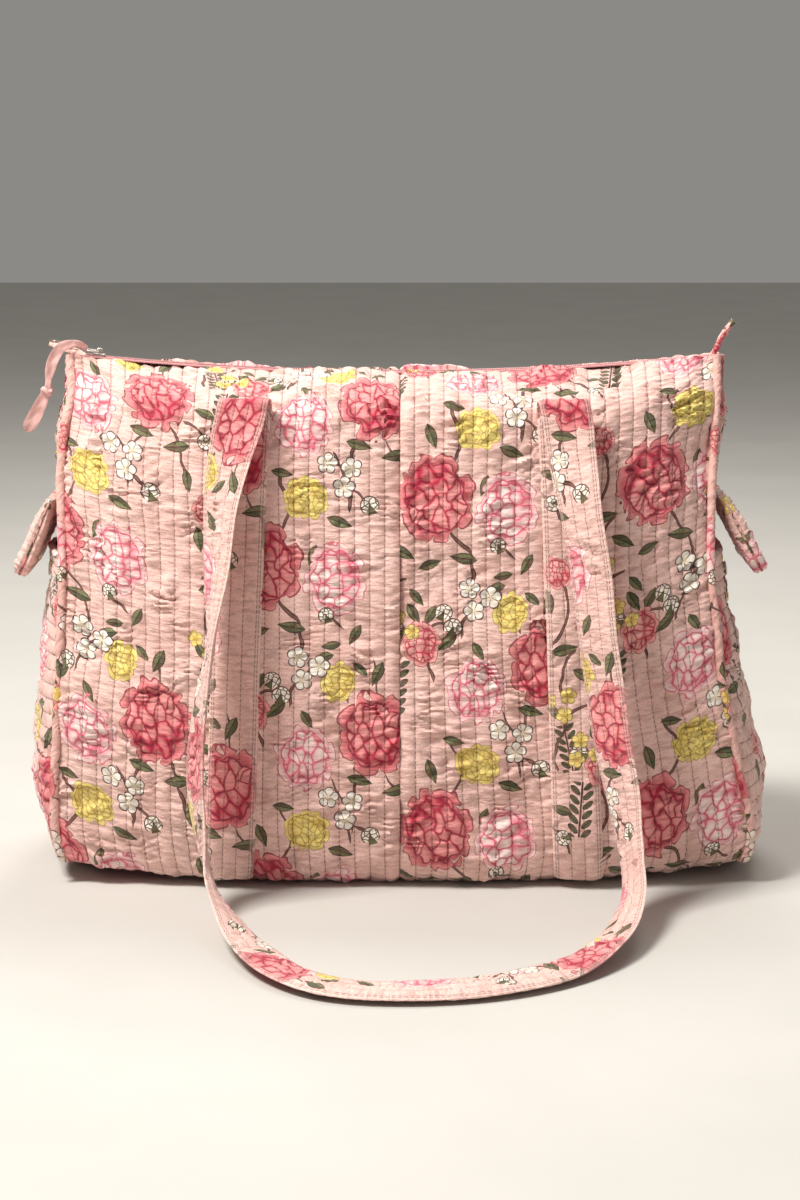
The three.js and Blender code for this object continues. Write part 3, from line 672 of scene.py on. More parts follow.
def stems(g, place, under):
    wobble = (g.noise(g.vector("SCALE", place, scale=0.05), 1.0, 1.0) - 0.5) * 9
    nearest_line = None
    for group, x, y, radius, start, end in STEMS:
        apart = g.vector("SUBTRACT", place, (group[0] + x, group[1] + y, 0))
        half = (REPEAT_WIDTH / 2, REPEAT_HEIGHT / 2, 1)
        apart = g.vector("WRAP", apart, half, tuple(-size for size in half))
        away = abs(g.vector("LENGTH", apart) + (wobble - radius))
        middle = math.radians((start + end) / 2)
        toward_middle = g.vector("DOT_PRODUCT", apart, (math.cos(middle), math.sin(middle), 0))
        beyond = toward_middle < radius * math.cos(math.radians((end - start) / 2))
        away = away + beyond * 99
        nearest_line = away if nearest_line is None else g.math("MINIMUM", nearest_line, away)
    bark = g.mix(g.scaled(nearest_line, 0.25, 0.55), rgb(0x7E5A4E), rgb(0x3A2724))
    return g.mix(g.scaled(nearest_line, STEM_HALF_WIDTH + 0.15, STEM_HALF_WIDTH - 0.15), under, bark)


SPRIG_LEAVES = 3.4  # pairs of leaves in one radius of a sprig


def leafy_sprigs(g, place, under):
    """A stem with small leaves to either side in turn."""
    inside, *_ = nearest(g, place, SPRIGS)
    x, y, _ = g.parts(inside)
    pair = g.math("FRACT", x * SPRIG_LEAVES + (y > 0) * 0.5 + 5) - 0.5
    along = pair / SPRIG_LEAVES
    beside = abs(y) - 0.2
    long_way = (along + beside) * 0.707
    short_way = (beside - along) * 0.707
    size = g.math("SQRT", (long_way / 0.2) ** 2 + (short_way / 0.09) ** 2)
    leaf = g.mix(g.math("MAXIMUM", g.scaled(size, 0.72, 0.86), g.scaled(abs(short_way), 0.016, 0.006)),
                 rgb(0x515D40), rgb(0x272B20))
    within = abs(x) < 0.85
    colour = g.mix(g.math("MULTIPLY", abs(y) < 0.03, within), under, rgb(0x4A352D))
    return g.mix(g.math("MULTIPLY", size < 1, within), colour, leaf)


def make_print():
    """A node group that gives the print's colour at a place on the cloth in millimetres."""
    tree = bpy.data.node_groups.new("floral_print", "ShaderNodeTree")
    tree.interface.new_socket("Place", in_out="INPUT", socket_type="NodeSocketVector")
    tree.interface.new_socket("Colour", in_out="OUTPUT", socket_type="NodeSocketColor")
    g = Graph(tree)
    place = g.node("NodeGroupInput").outputs["Place"]
    mottled = g.noise(g.vector("SCALE", place, scale=0.9), 1.0, 3.0)
    cloudy = g.noise(g.vector("SCALE", place, scale=0.03), 1.0, 2.0)
    colour = g.mix(g.scaled(mottled * 0.6 + cloudy * 0.4, 0.35, 0.65), rgb(0xE6BBB0), rgb(0xF5D1C7))
    for layer in (stems, leafy_sprigs, leaves, ruffled_flowers, bud_clusters, small_blossoms):
        colour = layer(g, place, colour)
    g.feed(g.node("NodeGroupOutput").inputs["Colour"], colour)
    return tree


# ---- Materials ----
def new_material(name):
    material = bpy.data.materials.new(name)
    material.use_nodes = True
    g = Graph(material.node_tree)
    shader = material.node_tree.nodes["Principled BSDF"]
    return material, g, shader


def uv_place(g, label):
    return g.node("ShaderNodeUVMap", uv_map=label).outputs[0]


def add_bump(g, shader, height, strength, distance):
    """Raises the surface by height, which runs from 0 to 1, times distance in metres."""
    made = g.node("ShaderNodeBump")
    made.inputs["Strength"].default_value = strength
    made.inputs["Distance"].default_value = distance
    g.feed(made.inputs["Height"], height)
    g.feed(shader.inputs["Normal"], made.outputs[0])


def weave(g, place, pitch):
    """The over and under of a plain weave, from 0 to 1."""
    x, y, _ = g.parts(place)
    pace = 2 * math.pi / pitch
    return g.math("SINE", x * pace) * g.math("SINE", y * pace) * 0.5 + 0.5


def printed_cloth(name, floral, stitched, dye_and_shade_depth=1.0, edged=False):
    """Printed cotton, darkened in its crease hollows as painted shade; depth below 1 deepens it towards rose
    red, partly the piping's own colour and partly painted shade; stitched adds rows of quilting with painted
    shade along them, and edged adds the doubly stitched folds along a strap's edges, lightened there as a
    painted highlight."""
    material, g, shader = new_material(name)
    place = uv_place(g, "cloth")
    group = g.node("ShaderNodeGroup", node_tree=floral)
    g.feed(group.inputs["Place"], place)
    colour = group.outputs["Colour"]
    threads = weave(g, place, 0.7)
    crease_height_and_shade = g.noise(g.vector("MULTIPLY", uv_place(g, "quilt"), (0.09, 0.34, 1)), 1.0, 3.0)
    colour = g.mix(0.12 * threads, colour, rgb(0xC98F88))
    # Painted shade: the colour is darkened towards a deep rose-brown where the crease bumps are low.
    colour = g.mix(g.scaled(crease_height_and_shade, 0.55, 0.3) * 0.3, colour, rgb(0x8E5A52))
    height = threads * 0.06 + crease_height_and_shade
    if dye_and_shade_depth < 1:
        # Deepens the colour towards rose red: partly the piping's own deeper colour, partly painted shade.
        shade = g.node("ShaderNodeMix", data_type="RGBA", blend_type="MULTIPLY")
        shade.inputs[0].default_value = 1 - dye_and_shade_depth
        g.feed(shade.inputs[6], colour)
        shade.inputs[7].default_value = rgb(0xD8746F)
        colour = shade.outputs[2]
    if stitched:
        across, along, _ = g.parts(uv_place(g, "quilt"))
        from_row = g.math("PINGPONG", across, STITCH_GAP / 2)
        dash = g.math("FRACT", along / 3.3) < 0.64
        if edged:
            from_middle = abs(across * (STRAP_STITCH_GAP / STITCH_GAP) - STRAP_STITCH_GAP / 2)
            fold = g.scaled(from_middle, STRAP_FOLD - 0.4, STRAP_FOLD + 0.2)
            from_row = g.mix(fold, from_row, abs(from_middle - (STRAP_FOLD + 1.7)), "FLOAT")
            from_row = g.math("MINIMUM", Signal(g, from_row), abs(from_middle - (STRAP_FOLD + 0.1)))
            # Painted highlight: the folded edges of a strap are lightened towards pale pink.
            colour = g.mix(fold * 0.35, colour, rgb(0xF3D3C8))
        thread = g.scaled(from_row, 0.36, 0.2) * dash
        # Painted shade: the cloth is darkened towards each row of stitches, where the quilting dips.
        painted_valley_shade = g.scaled(from_row, 1.0, 0.0)
        colour = g.mix(painted_valley_shade * 0.1, colour, rgb(0x8E564E))
        colour = g.mix(thread * 0.62, colour, rgb(0x6E3530))
        height = height - g.scaled(from_row, 0.9, 0.0) * 0.28 + thread * 0.2
    g.feed(shader.inputs["Base Color"], colour)
    shader.inputs["Roughness"].default_value = 0.88
    shader.inputs["Specular IOR Level"].default_value = 0.25
    shader.inputs["Sheen Weight"].default_value = 0.18
    shader.inputs["Sheen Roughness"].default_value = 0.5
    add_bump(g, shader, height, 0.7, 0.0022)
    return material


def plain_weave(name, light, dark, pitch, roughness=0.9, rib=False):
    """Undyed or single-coloured woven cloth; rib gives a tape's crosswise ribs."""
    material, g, shader = new_material(name)
    place = uv_place(g, "cloth")
    threads = weave(g, place, pitch)
    if rib:
        _, y, _ = g.parts(place)
        threads = threads * 0.5 + (g.math("SINE", y * (2 * math.pi / (2 * pitch))) * 0.25 + 0.25)
    uneven = g.noise(g.vector("SCALE", place, scale=0.12), 1.0, 3.0)
    g.feed(shader.inputs["Base Color"], g.mix(threads * 0.5 + uneven * 0.5, rgb(dark), rgb(light)))
    shader.inputs["Roughness"].default_value = roughness
    shader.inputs["Sheen Weight"].default_value = 0.2
    add_bump(g, shader, threads * 0.4 + uneven * 0.6, 0.4, 0.0004)
    return material


def moulded_plastic(name, light, dark):
    material, g, shader = new_material(name)
    place = g.node("ShaderNodeTexCoord").outputs["Object"]
    uneven = g.noise(g.vector("SCALE", place, scale=900), 1.0, 3.0)
    g.feed(shader.inputs["Base Color"], g.mix(g.scaled(uneven, 0.35, 0.65), rgb(dark), rgb(light)))
    g.feed(shader.inputs["Roughness"], uneven * 0.25 + 0.22)
    shader.inputs["Coat Weight"].default_value = 0.15
    return material


def worn_metal(name):
    material, g, shader = new_material(name)
    place = g.node("ShaderNodeTexCoord").outputs["Object"]
    scratches = g.noise(g.vector("MULTIPLY", place, (400, 3000, 400)), 1.0, 4.0)
    g.feed(shader.inputs["Base Color"], g.mix(scratches, rgb(0xA9A39A), rgb(0xDAD6CE)))
    g.feed(shader.inputs["Roughness"], scratches * 0.3 + 0.18)
    shader.inputs["Metallic"].default_value = 1.0
    return material


floral = make_print()
PRINT = printed_cloth("quilted_print", floral, stitched=True)
STRAP_PRINT = printed_cloth("strap_print", floral, stitched=True, edged=True)
PLAIN_PRINT = printed_cloth("printed_cotton", floral, stitched=False)
PIPING = printed_cloth("bias_piping", floral, stitched=False, dye_and_shade_depth=0.8)
LINING_CLOTH = plain_weave("lining_cotton", 0xF0DCD4, 0xDDC0B7, 0.8)
TAPE = plain_weave("zip_tape", 0xD79A9A, 0xB67779, 0.6, rib=True)
RIBBON = plain_weave("ribbon_cotton", 0xF3C9C2, 0xE0A9A4, 0.5, roughness=0.75)
COIL = moulded_plastic("coil_nylon", 0xE2B0AE, 0xC98F90)
SNAP = moulded_plastic("snap_plastic", 0xF2F0EB, 0xD9D6CF)
METAL = worn_metal("zip_metal")


# ---- Quilting ----
def channel_places(length):
    """Distances across a quilted piece, crowded round each row of stitches."""
    channels = math.ceil(length / STITCH_GAP)
    places = [(number + share) * STITCH_GAP for number in range(channels) for share in CHANNEL]
    places = [place for place in places if place < length - 0.5]
    return np.array(places + [length])


def even_places(length, step=ROW_STEP):
    return np.linspace(0, length, max(2, round(length / step)) + 1)


def quilt_relief(across, along, seed, puff=PUFF):
    """How far quilted cloth stands out: swollen channels between stitches, with puckers across them."""
    share = across / STITCH_GAP - np.floor(across / STITCH_GAP)
    swell = np.abs(np.sin(math.pi * share)) ** 0.85
    own = np.sin(12.9898 * np.floor(across / STITCH_GAP) + seed)
    drift = 6 * waves(across, along, seed, 46) + 1.6 * waves(across, along, seed + 4, 15)
    drift = drift + 1.6 * swell * own + 0.4 * own
    ripple = np.sin(2 * math.pi * along / PUCKER_GAP + drift)
    ripple += 0.8 * waves(across * 0.5, along, seed + 1, 8)
    patchy = np.clip(0.65 + 0.6 * waves(across, along, seed + 2, 34), 0.08, 1.7)
    return puff * swell * (1 + 0.12 * waves(across, along, seed + 3, 22)) + PUCKER * ripple * patchy


def seam_sink(distance):
    return -SEAM_SINK * np.exp(-((distance / SEAM_SINK_WIDTH) ** 2))


def quilted_piece(name, outer, inner, printed, stitched, material=PRINT):
    return add_piece(name, cloth_between(outer, inner, printed, stitched), material)


def lining_piece(name, outer, inner, place):
    return add_piece(name, cloth_between(outer, inner, place, place), LINING_CLOTH)


def above_floor(points):
    points[..., 2] = np.maximum(points[..., 2], FLOOR_CLEARANCE)
    return points


# ---- Front and back ----
FACES = [("front", -1), ("back", 1)]
SIDES = [("left", -1), ("right", 1)]
# Where group A of the print falls on each half of the front and back: distance across and up the cloth.
PRINT_PLACES = {("front", -1): (-17, 122), ("front", 1): (97, 168),
                ("back", -1): (-60, 190), ("back", 1): (40, 90)}
WIDTH_HEIGHTS = (20, 120, 240, 330)  # the heights over which a half's width is averaged


def even_rows(first, last, step=ROW_STEP):
    """Shares of the outline that lie evenly along the cloth in the middle of the bag."""
    fine = np.linspace(first, last, 600)
    outline = spline(MIDDLE_OUTLINE, fine)
    length = grid_length(outline[:, None], 0)[:, 0]
    return np.interp(even_places(length[-1], step), length, fine), length[-1]


def mouth_weights(share_x, row):
    """How far a point near the zip follows the opening mouth: none below the shoulder or at the corners."""
    up = smoothstep(row, SHOULDER_ROW - 0.025, SHOULDER_ROW + 0.05)
    return up * (1 - smoothstep(np.abs(share_x), 95, MOUTH_HALF_WIDTH - 2))


def half_wall(face, facing, side_name, side):
    width = float(np.mean(reach_at(side, np.array(WIDTH_HEIGHTS, float))))
    across = channel_places(width)
    rows, height = even_rows(0.0, 1.0)
    share, row = np.meshgrid(across / width, rows)
    base = wall_points(side, share, row, facing)
    outward = grid_normals(base) * (-facing * side)
    distance = share * width
    along = grid_length(base, 0)
    seed = 10 + 3 * facing + side
    relief = quilt_relief(distance, along, seed)
    relief += SAG * waves(base[..., 0], base[..., 2], seed + 5, 95) * smoothstep(row, 0.0, 0.1)
    relief += DENT * waves(base[..., 0] * 1.3, base[..., 2], seed + 6, 40) * smoothstep(row, 0.0, 0.1)
    relief += seam_sink(distance) + 0.6 * seam_sink(width - distance)
    outer = above_floor(base + outward * relief[..., None])
    inner = above_floor(base - outward * QUILT)
    place = PRINT_PLACES[(face, side)]
    printed = np.stack([base[..., 0] - place[0] + GROUP_A[0], along - place[1] + GROUP_A[1]], axis=-1)
    stitched = np.stack([distance, along], axis=-1)
    piece = quilted_piece(f"{face}_wall_{side_name}", outer, inner, printed, stitched)
    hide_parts(f"{face}_panel_{side_name}", f"{face}_mouth_{side_name}")
    bend(piece, "shell", f"mouth_{face}", np.tile(mouth_weights(base[..., 0], row).ravel(), 2))


SLIDER_LANE = (6.0, 14.0)  # distances from the middle of the zip over which the lining dips under the slider
SLIDER_ROOM = 4.8  # how far below the zip it stays there


def wall_lining(face, facing):
    """The loose lining behind the front or back, up to the zip."""
    rows, height = even_rows(0.03, 0.995, 8.0)
    across = np.linspace(-1, 1, 57)
    share, row = np.meshgrid(across, rows)
    base = np.where((share < 0)[..., None], wall_points(-1, np.abs(share), row, facing),
                    wall_points(1, np.abs(share), row, facing))
    base[..., 0] *= 0.96
    outward = grid_normals(base) * -facing
    ripple = 0.9 * waves(base[..., 0], base[..., 2], 71 + facing, 38)
    outer = base - outward * (LINING_INSET + 0.9 + ripple)[..., None]
    too_high = np.maximum(outer[..., 2] - (zip_height(outer[..., 0]) - SLIDER_ROOM), 0)
    outer[..., 2] -= too_high * (1 - smoothstep(np.abs(outer[..., 1]), *SLIDER_LANE))
    inner = outer - outward * LINING
    place = np.stack([base[..., 0], grid_length(base, 0)], axis=-1)
    piece = lining_piece(f"{face}_lining", outer, inner, place)
    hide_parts(f"{face}_lining_left", f"{face}_lining_right", f"{face}_mouth_lining")
    bend(piece, "shell", f"mouth_{face}", np.tile(mouth_weights(base[..., 0], row).ravel(), 2))


# ---- Side walls, pockets and base ----
SIDE_WIDTH = 160.0  # across a side wall, as its quilting is laid out
GUSSET_FOLD = 8  # how far the top of a side wall is folded in
# The share of the fold that is given up at the top, to leave room for the slider at the end of its travel.
SLIDER_END_ROOM = {"left": 0, "right": 0.65}


def channels_up(first, last, count):
    """Distances up a side seam, the shares of the outline that they lie at, and the whole distance."""
    fine = np.linspace(first, last, count)
    length = grid_length(spline(SEAM_OUTLINE, fine)[:, None], 0)[:, 0]
    up = channel_places(float(length[-1]))
    return up, np.interp(up, length, fine), float(length[-1])


def gusset_fold(side_name, across, row):
    """How far a side wall and its lining are folded in, towards the middle of the bag."""
    fold = GUSSET_FOLD * smoothstep(row, 0.66, 0.95) * (1 - np.abs(across)) ** 1.3
    return fold * (1 - SLIDER_END_ROOM[side_name] * smoothstep(row, 0.86, 1))


def side_wall(side_name, side):
    up, rows, height = channels_up(0, 1, 400)
    across, row = np.meshgrid(np.linspace(-1, 1, 97), rows)
    base = side_points(side, across, row)
    base[..., 0] -= side * gusset_fold(side_name, across, row)
    outward = grid_normals(base) * side
    level = np.broadcast_to(up[:, None], row.shape)
    seed = 40 + side
    distance = across * SIDE_WIDTH / 2
    relief = quilt_relief(level, distance, seed)
    hollows = 1.2 * waves(base[..., 1], base[..., 2], seed + 5, 70)
    relief += hollows * smoothstep(row, 0, 0.1) * (1 - across**2)
    relief += seam_sink((1 - np.abs(across)) * SIDE_WIDTH / 2)
    outer = above_floor(base + outward * relief[..., None])
    inner = above_floor(base - outward * QUILT)
    place = np.stack([distance + 20 * side, level + 40], axis=-1)
    stitched = np.stack([level, distance], axis=-1)
    piece = quilted_piece(f"side_wall_{side_name}", outer, inner, place, stitched)
    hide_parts(f"gusset_{side_name}")
    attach(piece, "shell")


def side_lining(side_name, side):
    across, row = np.meshgrid(np.linspace(-0.8, 0.8, 21), np.linspace(0.06, 0.86, 40))
    base = side_points(side, across, row)
    inset = LINING_INSET + 1 + 0.7 * waves(base[..., 1], base[..., 2], 77 + side, 30)
    base[..., 0] -= side * (inset + gusset_fold(side_name, across, row))
    inner = base - np.array([side * LINING, 0, 0])
    place = base[..., 1:]
    lining = lining_piece(f"side_lining_{side_name}", base, inner, place)
    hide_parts(f"gusset_lining_{side_name}")
    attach(lining, "shell")


POCKET_BOTTOM = 0.05
POCKET_TOP = 6.72 / 12
POCKET_EDGE = 0.955  # how far a pocket reaches towards the side wall's seams
POCKET_HALF = 80  # half its width, as its quilting is laid out
POCKET_OFFSET = 3.85
POCKET_WALL = 3.2
POCKET_HEM = 0.8  # how far its top edge stands out
POCKET_BINDING = 2.4  # radius of the binding round its top edge


def pocket(side_name, side):
    up, rows, height = channels_up(POCKET_BOTTOM, POCKET_TOP, 300)
    across, row = np.meshgrid(np.linspace(-POCKET_EDGE, POCKET_EDGE, 93), rows)
    base = side_points(side, across, row, 1.0)
    outward = grid_normals(base) * side
    level = np.broadcast_to(up[:, None], row.shape)
    seed = 50 + side
    relief = POCKET_OFFSET - 1 + quilt_relief(level, across * POCKET_HALF, seed, PUFF * 0.9)
    hollows = 1.5 * waves(base[..., 1], base[..., 2], seed + 5, 60)
    relief += hollows * (1 - across**2) * smoothstep(row, 0.05, 0.15)
    relief += 2.5 * seam_sink((1 - np.abs(across / POCKET_EDGE)) * POCKET_HALF / 2)
    relief += POCKET_HEM * np.exp(-(((height - level) / 2.5) ** 2))
    outer = base + outward * relief[..., None]
    inner = base + outward * (relief - POCKET_WALL)[..., None]
    place = np.stack([across * POCKET_HALF - 30 * side, level + 115], axis=-1)
    stitched = np.stack([level, across * POCKET_HALF], axis=-1)
    piece = quilted_piece(f"side_pocket_{side_name}", outer, inner, place, stitched)
    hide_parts(f"pocket_{side_name}")
    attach(piece, "shell")
    rim = (outer[-1] + inner[-1]) / 2
    binding = add_piece(f"pocket_binding_{side_name}", tube(rim, POCKET_BINDING, 10, bias=True), PIPING)
    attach(binding, "shell")


BASE_LEFT, BASE_RIGHT = -229.0, 234.0
BASE_HALF_DEPTH = 73.5
BASE_LINING_HALF = (208, 54)  # half its width and half its depth


def base_panel():
    across, deep = np.meshgrid(np.linspace(-1, 1, 141), np.linspace(-1, 1, 61))
    left, right, half = BASE_LEFT, BASE_RIGHT, BASE_HALF_DEPTH
    rounding = 1 - 0.035 * (np.abs(across) ** 8) * (np.abs(deep) ** 8)
    x = (left + right) / 2 + across * rounding * (right - left) / 2
    y = deep * rounding * half
    edge = np.minimum((1 - np.abs(across)) * (right - left) / 2, (1 - np.abs(deep)) * half)
    lift = 2.2 * np.exp(-((edge / 3.5) ** 2))
    raised = corner_lift(across, deep, 0.0)
    low = np.stack([x, y, FLOOR_CLEARANCE + lift + raised], axis=-1)
    high = np.stack([x, y, 5.2 - 0.3 * lift + raised], axis=-1)
    place = np.stack([x, y], axis=-1)
    piece = quilted_piece("base", low, high, place, place[..., ::-1] + 5)
    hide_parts("bottom_panel")
    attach(piece, "shell")

    half_width, half_depth = BASE_LINING_HALF
    x = across * half_width + 3
    y = deep * half_depth
    swell = 0.5 * waves(x, y, 91, 40)
    low = np.stack([x, y, 5.9 + swell], axis=-1)
    lining = lining_piece("base_lining", low, low + np.array([0, 0, LINING]), place)
    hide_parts("bottom_lining")
    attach(lining, "shell")


# ---- Piping ----
PIPING_RADIUS = 3.0


def piping(face, facing, side_name, side):
    row = np.linspace(0.012, 1.0, 230)
    seam = spline(SEAM_OUTLINE, row)
    height = seam[:, 1] + corner_lift(1.0, 1.0, row)
    path = np.stack([side * (reach_at(side, seam[:, 1]) + 0.6), facing * (seam[:, 0] + 0.6), height], axis=-1)
    wander = 0.5 * waves(seam[:, 1], seam[:, 0], 60 + facing + 3 * side, 45)
    path[:, 0] += wander
    path[:, 2] = np.maximum(path[:, 2], PIPING_RADIUS + 0.1)
    drift = 2 * waves(seam[:, 1], 0, 66 + side, 25)
    radius = PIPING_RADIUS + 0.18 * np.sin(seam[:, 1] * 2 * math.pi / 7 + drift)
    piece = add_piece(f"piping_cord_{face}_{side_name}", tube(path, radius, 14, bias=True), PIPING)
    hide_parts(f"piping_{face}_{side_name}")
    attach(piece, "shell")


# ---- Straps ----
STRAP_THICKNESS = 3.5
STRAP_COLUMNS = 25
LEFT_LEG = (-116, -102)  # distance across at the foot and the top of a sewn leg
RIGHT_LEG = (121, 107)
# The free loop from its left fold, down to the ground, round and up to its right fold: each station has a
# point, then the direction across the strap, towards the inside of the loop. It starts and ends in a fold.
LEFT_FOLD = [[-101, -80, 312, 1, 0, 0], [-101, -79, 321, 1, 0, 0], [-101.5, -82, 328, 1, 0, 0],
             [-103, -88, 329, 1, 0, 0], [-105, -92, 321, 1, 0, 0]]
RIGHT_FOLD = [[110, -92, 321, 1, 0, 0], [108, -88, 329, 1, 0, 0], [107, -82, 328, 1, 0, 0],
              [107, -79, 321, 1, 0, 0], [107, -80, 312, 1, 0, 0]]
LOOP = [[-111, -100, 297, 0.9, -0.43, 0], [-117, -111, 262, 0.72, -0.7, 0],
        [-120, -121, 220, 0.5, -0.87, 0], [-124, -129, 172, 0.16, -0.99, 0],
        [-131, -134, 130, 0.28, -0.96, 0], [-134, -138, 90, 0.37, -0.93, 0.1],
        [-131, -146, 56, 0.28, -0.87, 0.4], [-124, -165, 29, -0.12, -0.62, 0.78],
        [-110, -205, 15, -0.62, -0.38, 0.68], [-92, -255, 8, -0.87, -0.38, 0.3],
        [-68, -305, 6, -0.81, -0.55, 0.08], [-40, -332, 5.5, -0.46, -0.89, 0.02],
        [0, -340, 5.5, 0, -1, -0.05], [50, -331, 5.5, 0.36, -0.93, -0.05], [92, -305, 6, 0.68, -0.73, 0],
        [124, -262, 8.5, 0.83, -0.46, 0.31], [144, -205, 15, 0.68, -0.33, 0.65],
        [151, -166, 29, 0.36, -0.54, 0.76], [149, -148, 54, 0.45, -0.77, 0.44],
        [145, -141, 80, 0.62, -0.74, 0.28], [138, -134, 115, 0.7, -0.7, 0.2],
        [131, -128, 165, 0.74, -0.67, 0.15], [125, -122, 215, 0.74, -0.66, 0.14],
        [118, -111, 262, 0.8, -0.59, 0.1], [113, -99, 295, 0.92, -0.38, 0]]
ROUTE = LEFT_FOLD + LOOP + RIGHT_FOLD
BEFORE_LOOP = len(LEFT_FOLD) - 1  # a station of the frame's loop is this many further along the route
LEFT_CUT = BEFORE_LOOP + 5  # where the loop is divided between its legs and its bow
RIGHT_CUT = BEFORE_LOOP + 21
LEFT_BEND = (BEFORE_LOOP + 5.1, BEFORE_LOOP + 9.6)  # the stretch that bends as a lifted strap straightens
RIGHT_BEND = (BEFORE_LOOP + 16.4, BEFORE_LOOP + 20.9)
FOLD_STRETCH = (1.0, 5.0)  # the stations that unfold as the strap is lifted


def route_knots(stations):
    """Where each station lies on a centripetal curve."""
    points = np.array(stations, float)[:, :3]
    gaps = np.sqrt(np.linalg.norm(np.diff(points, axis=0), axis=1))
    return np.concatenate([[0], np.cumsum(gaps)])


def follow(stations, first, last, step):
    """Middle, direction across, normal, distance along and station of evenly spaced points on a route."""
    stations = np.array(stations, float)
    knots = route_knots(stations)
    fine = np.linspace(first, last, 900)
    fine_knots = np.interp(fine, np.arange(len(knots)), knots)
    points = hermite(knots, stations[:, :3], fine_knots)
    length = grid_length(points[:, None], 0)[:, 0]
    station = np.interp(even_places(length[-1], step), length, fine)
    at = np.interp(station, np.arange(len(knots)), knots)
    nudge = 0.02
    middle = hermite(knots, stations[:, :3], at)
    ahead = hermite(knots, stations[:, :3], at + nudge)
    tangent = unit(ahead - hermite(knots, stations[:, :3], at - nudge))
    across = hermite(knots, stations[:, 3:], at)
    across = unit(across - tangent * np.sum(across * tangent, axis=1, keepdims=True))
    normal = np.cross(tangent, across)
    return middle, across, normal, np.interp(station, fine, length), station


def both_faces(middle, across, normal, distance, curl, half):
    """The two faces of a strip of cloth, which stand half its thickness off its curled middle."""
    centre = middle[:, None] + across[:, None] * distance[..., None] + normal[:, None] * curl[..., None]
    lift = normal[:, None] * half[..., None]
    return centre + lift, centre - lift


def strap_section(share):
    """Half the thickness of a strap, by its share of the way from its middle to an edge."""
    return STRAP_THICKNESS / 2 * np.sqrt(np.clip(1 - np.abs(share) ** 6, 0.02, 1))


def strap_relief(across, along, seed):
    quilted = quilt_relief(across + STRAP_STITCH_GAP / 2, along, seed, 0.0)
    share = (across / STRAP_STITCH_GAP + 0.5) % 1
    return 0.7 * np.abs(np.sin(math.pi * share)) ** 0.6 - 0.5 + 0.7 * quilted


def strap_shape(middle, across, normal, along, start_length, seed, place):
    distance = np.linspace(-STRAP_WIDTH / 2, STRAP_WIDTH / 2, STRAP_COLUMNS)[None, :]
    length = (along + start_length)[:, None] + 0 * distance
    distance = distance + 0 * length
    share = distance / (STRAP_WIDTH / 2)
    curl = 0.6 * share**2 + 0.4 * waves(length, distance, seed + 3, 60)
    half = strap_section(share) + strap_relief(distance, length, seed) * (1 - share**4)
    outer, inner = both_faces(middle, across, normal, distance, curl, half)
    printed = np.stack([distance + place[0], length + place[1]], axis=-1)
    stitched = np.stack([(distance + STRAP_STITCH_GAP / 2) * STITCH_GAP / STRAP_STITCH_GAP, length], axis=-1)
    return cloth_between(outer, inner, printed, stitched)


def free_strap(face, facing):
    route = [[x, -facing * y, z, ax, -facing * ay, az] for x, y, z, ax, ay, az in ROUTE]
    body = f"strap_{face}"
    seed = 80 + facing
    place = (30 if facing < 0 else 75, 18)
    stretches = [("left_leg", 0, LEFT_CUT, f"{face}_strap_left"),
                 ("bow", LEFT_CUT, RIGHT_CUT, f"{face}_strap_bow"),
                 ("right_leg", RIGHT_CUT, len(route) - 1, f"{face}_strap_right")]
    start_length = 0.0
    for label, first, last, node in stretches:
        middle, across, normal, along, station = follow(route, first, last, 2.0)
        shape = strap_shape(middle, across, normal, along, start_length, seed, place)
        shape.points[:, 2] = np.maximum(shape.points[:, 2], FLOOR_CLEARANCE)
        piece = add_piece(f"{face}_strap_{label}_cloth", shape, STRAP_PRINT)
        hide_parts(node)
        if label == "bow":
            weights = smoothstep(station, *LEFT_BEND) * (1 - smoothstep(station, *RIGHT_BEND))
            bodies = (body, f"{body}_bow")
        else:
            from_end = station if label == "left_leg" else len(route) - 1 - station
            weights = smoothstep(from_end, *FOLD_STRETCH)
            bodies = ("shell", body)
        bend(piece, *bodies, np.tile(np.repeat(weights, STRAP_COLUMNS), 2))
        start_length += float(along[-1])


def sewn_leg(face, facing, side_name, side):
    """The stretch of strap that is sewn up the front or back."""
    foot, top = LEFT_LEG if side < 0 else RIGHT_LEG
    rows, height = even_rows(0.075, 9.9 / 12, 2.0)
    distance, row = np.meshgrid(np.linspace(-STRAP_WIDTH / 2, STRAP_WIDTH / 2, STRAP_COLUMNS), rows)
    x = lerp(foot, top, (row - rows[0]) / (rows[-1] - rows[0])) + distance
    reach = reach_at(side, spline(SEAM_OUTLINE, row)[..., 1])
    base = wall_points(side, side * x / reach, row, facing)
    outward = grid_normals(base) * -facing
    along = grid_length(base, 0)
    share = distance / (STRAP_WIDTH / 2)
    seed = 90 + facing + 3 * side
    height_over = PUFF + 0.3 + 2 * strap_section(share) + 0.8 * strap_relief(distance, along, seed)
    sag = SAG * waves(base[..., 0], base[..., 2], 10 + 3 * facing + side + 5, 95) * smoothstep(row, 0.0, 0.1)
    outer = base + outward * (height_over + sag)[..., None]
    inner = base + outward * (sag - 0.6)[..., None]
    printed = np.stack([distance + 60 + 20 * side, along + 10 * facing], axis=-1)
    stitched = np.stack([(distance + STRAP_STITCH_GAP / 2) * STITCH_GAP / STRAP_STITCH_GAP, along], axis=-1)
    piece = quilted_piece(f"{face}_sewn_leg_{side_name}", outer, inner, printed, stitched, STRAP_PRINT)
    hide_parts(f"{face}_strap_leg_{side_name}")
    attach(piece, "shell")


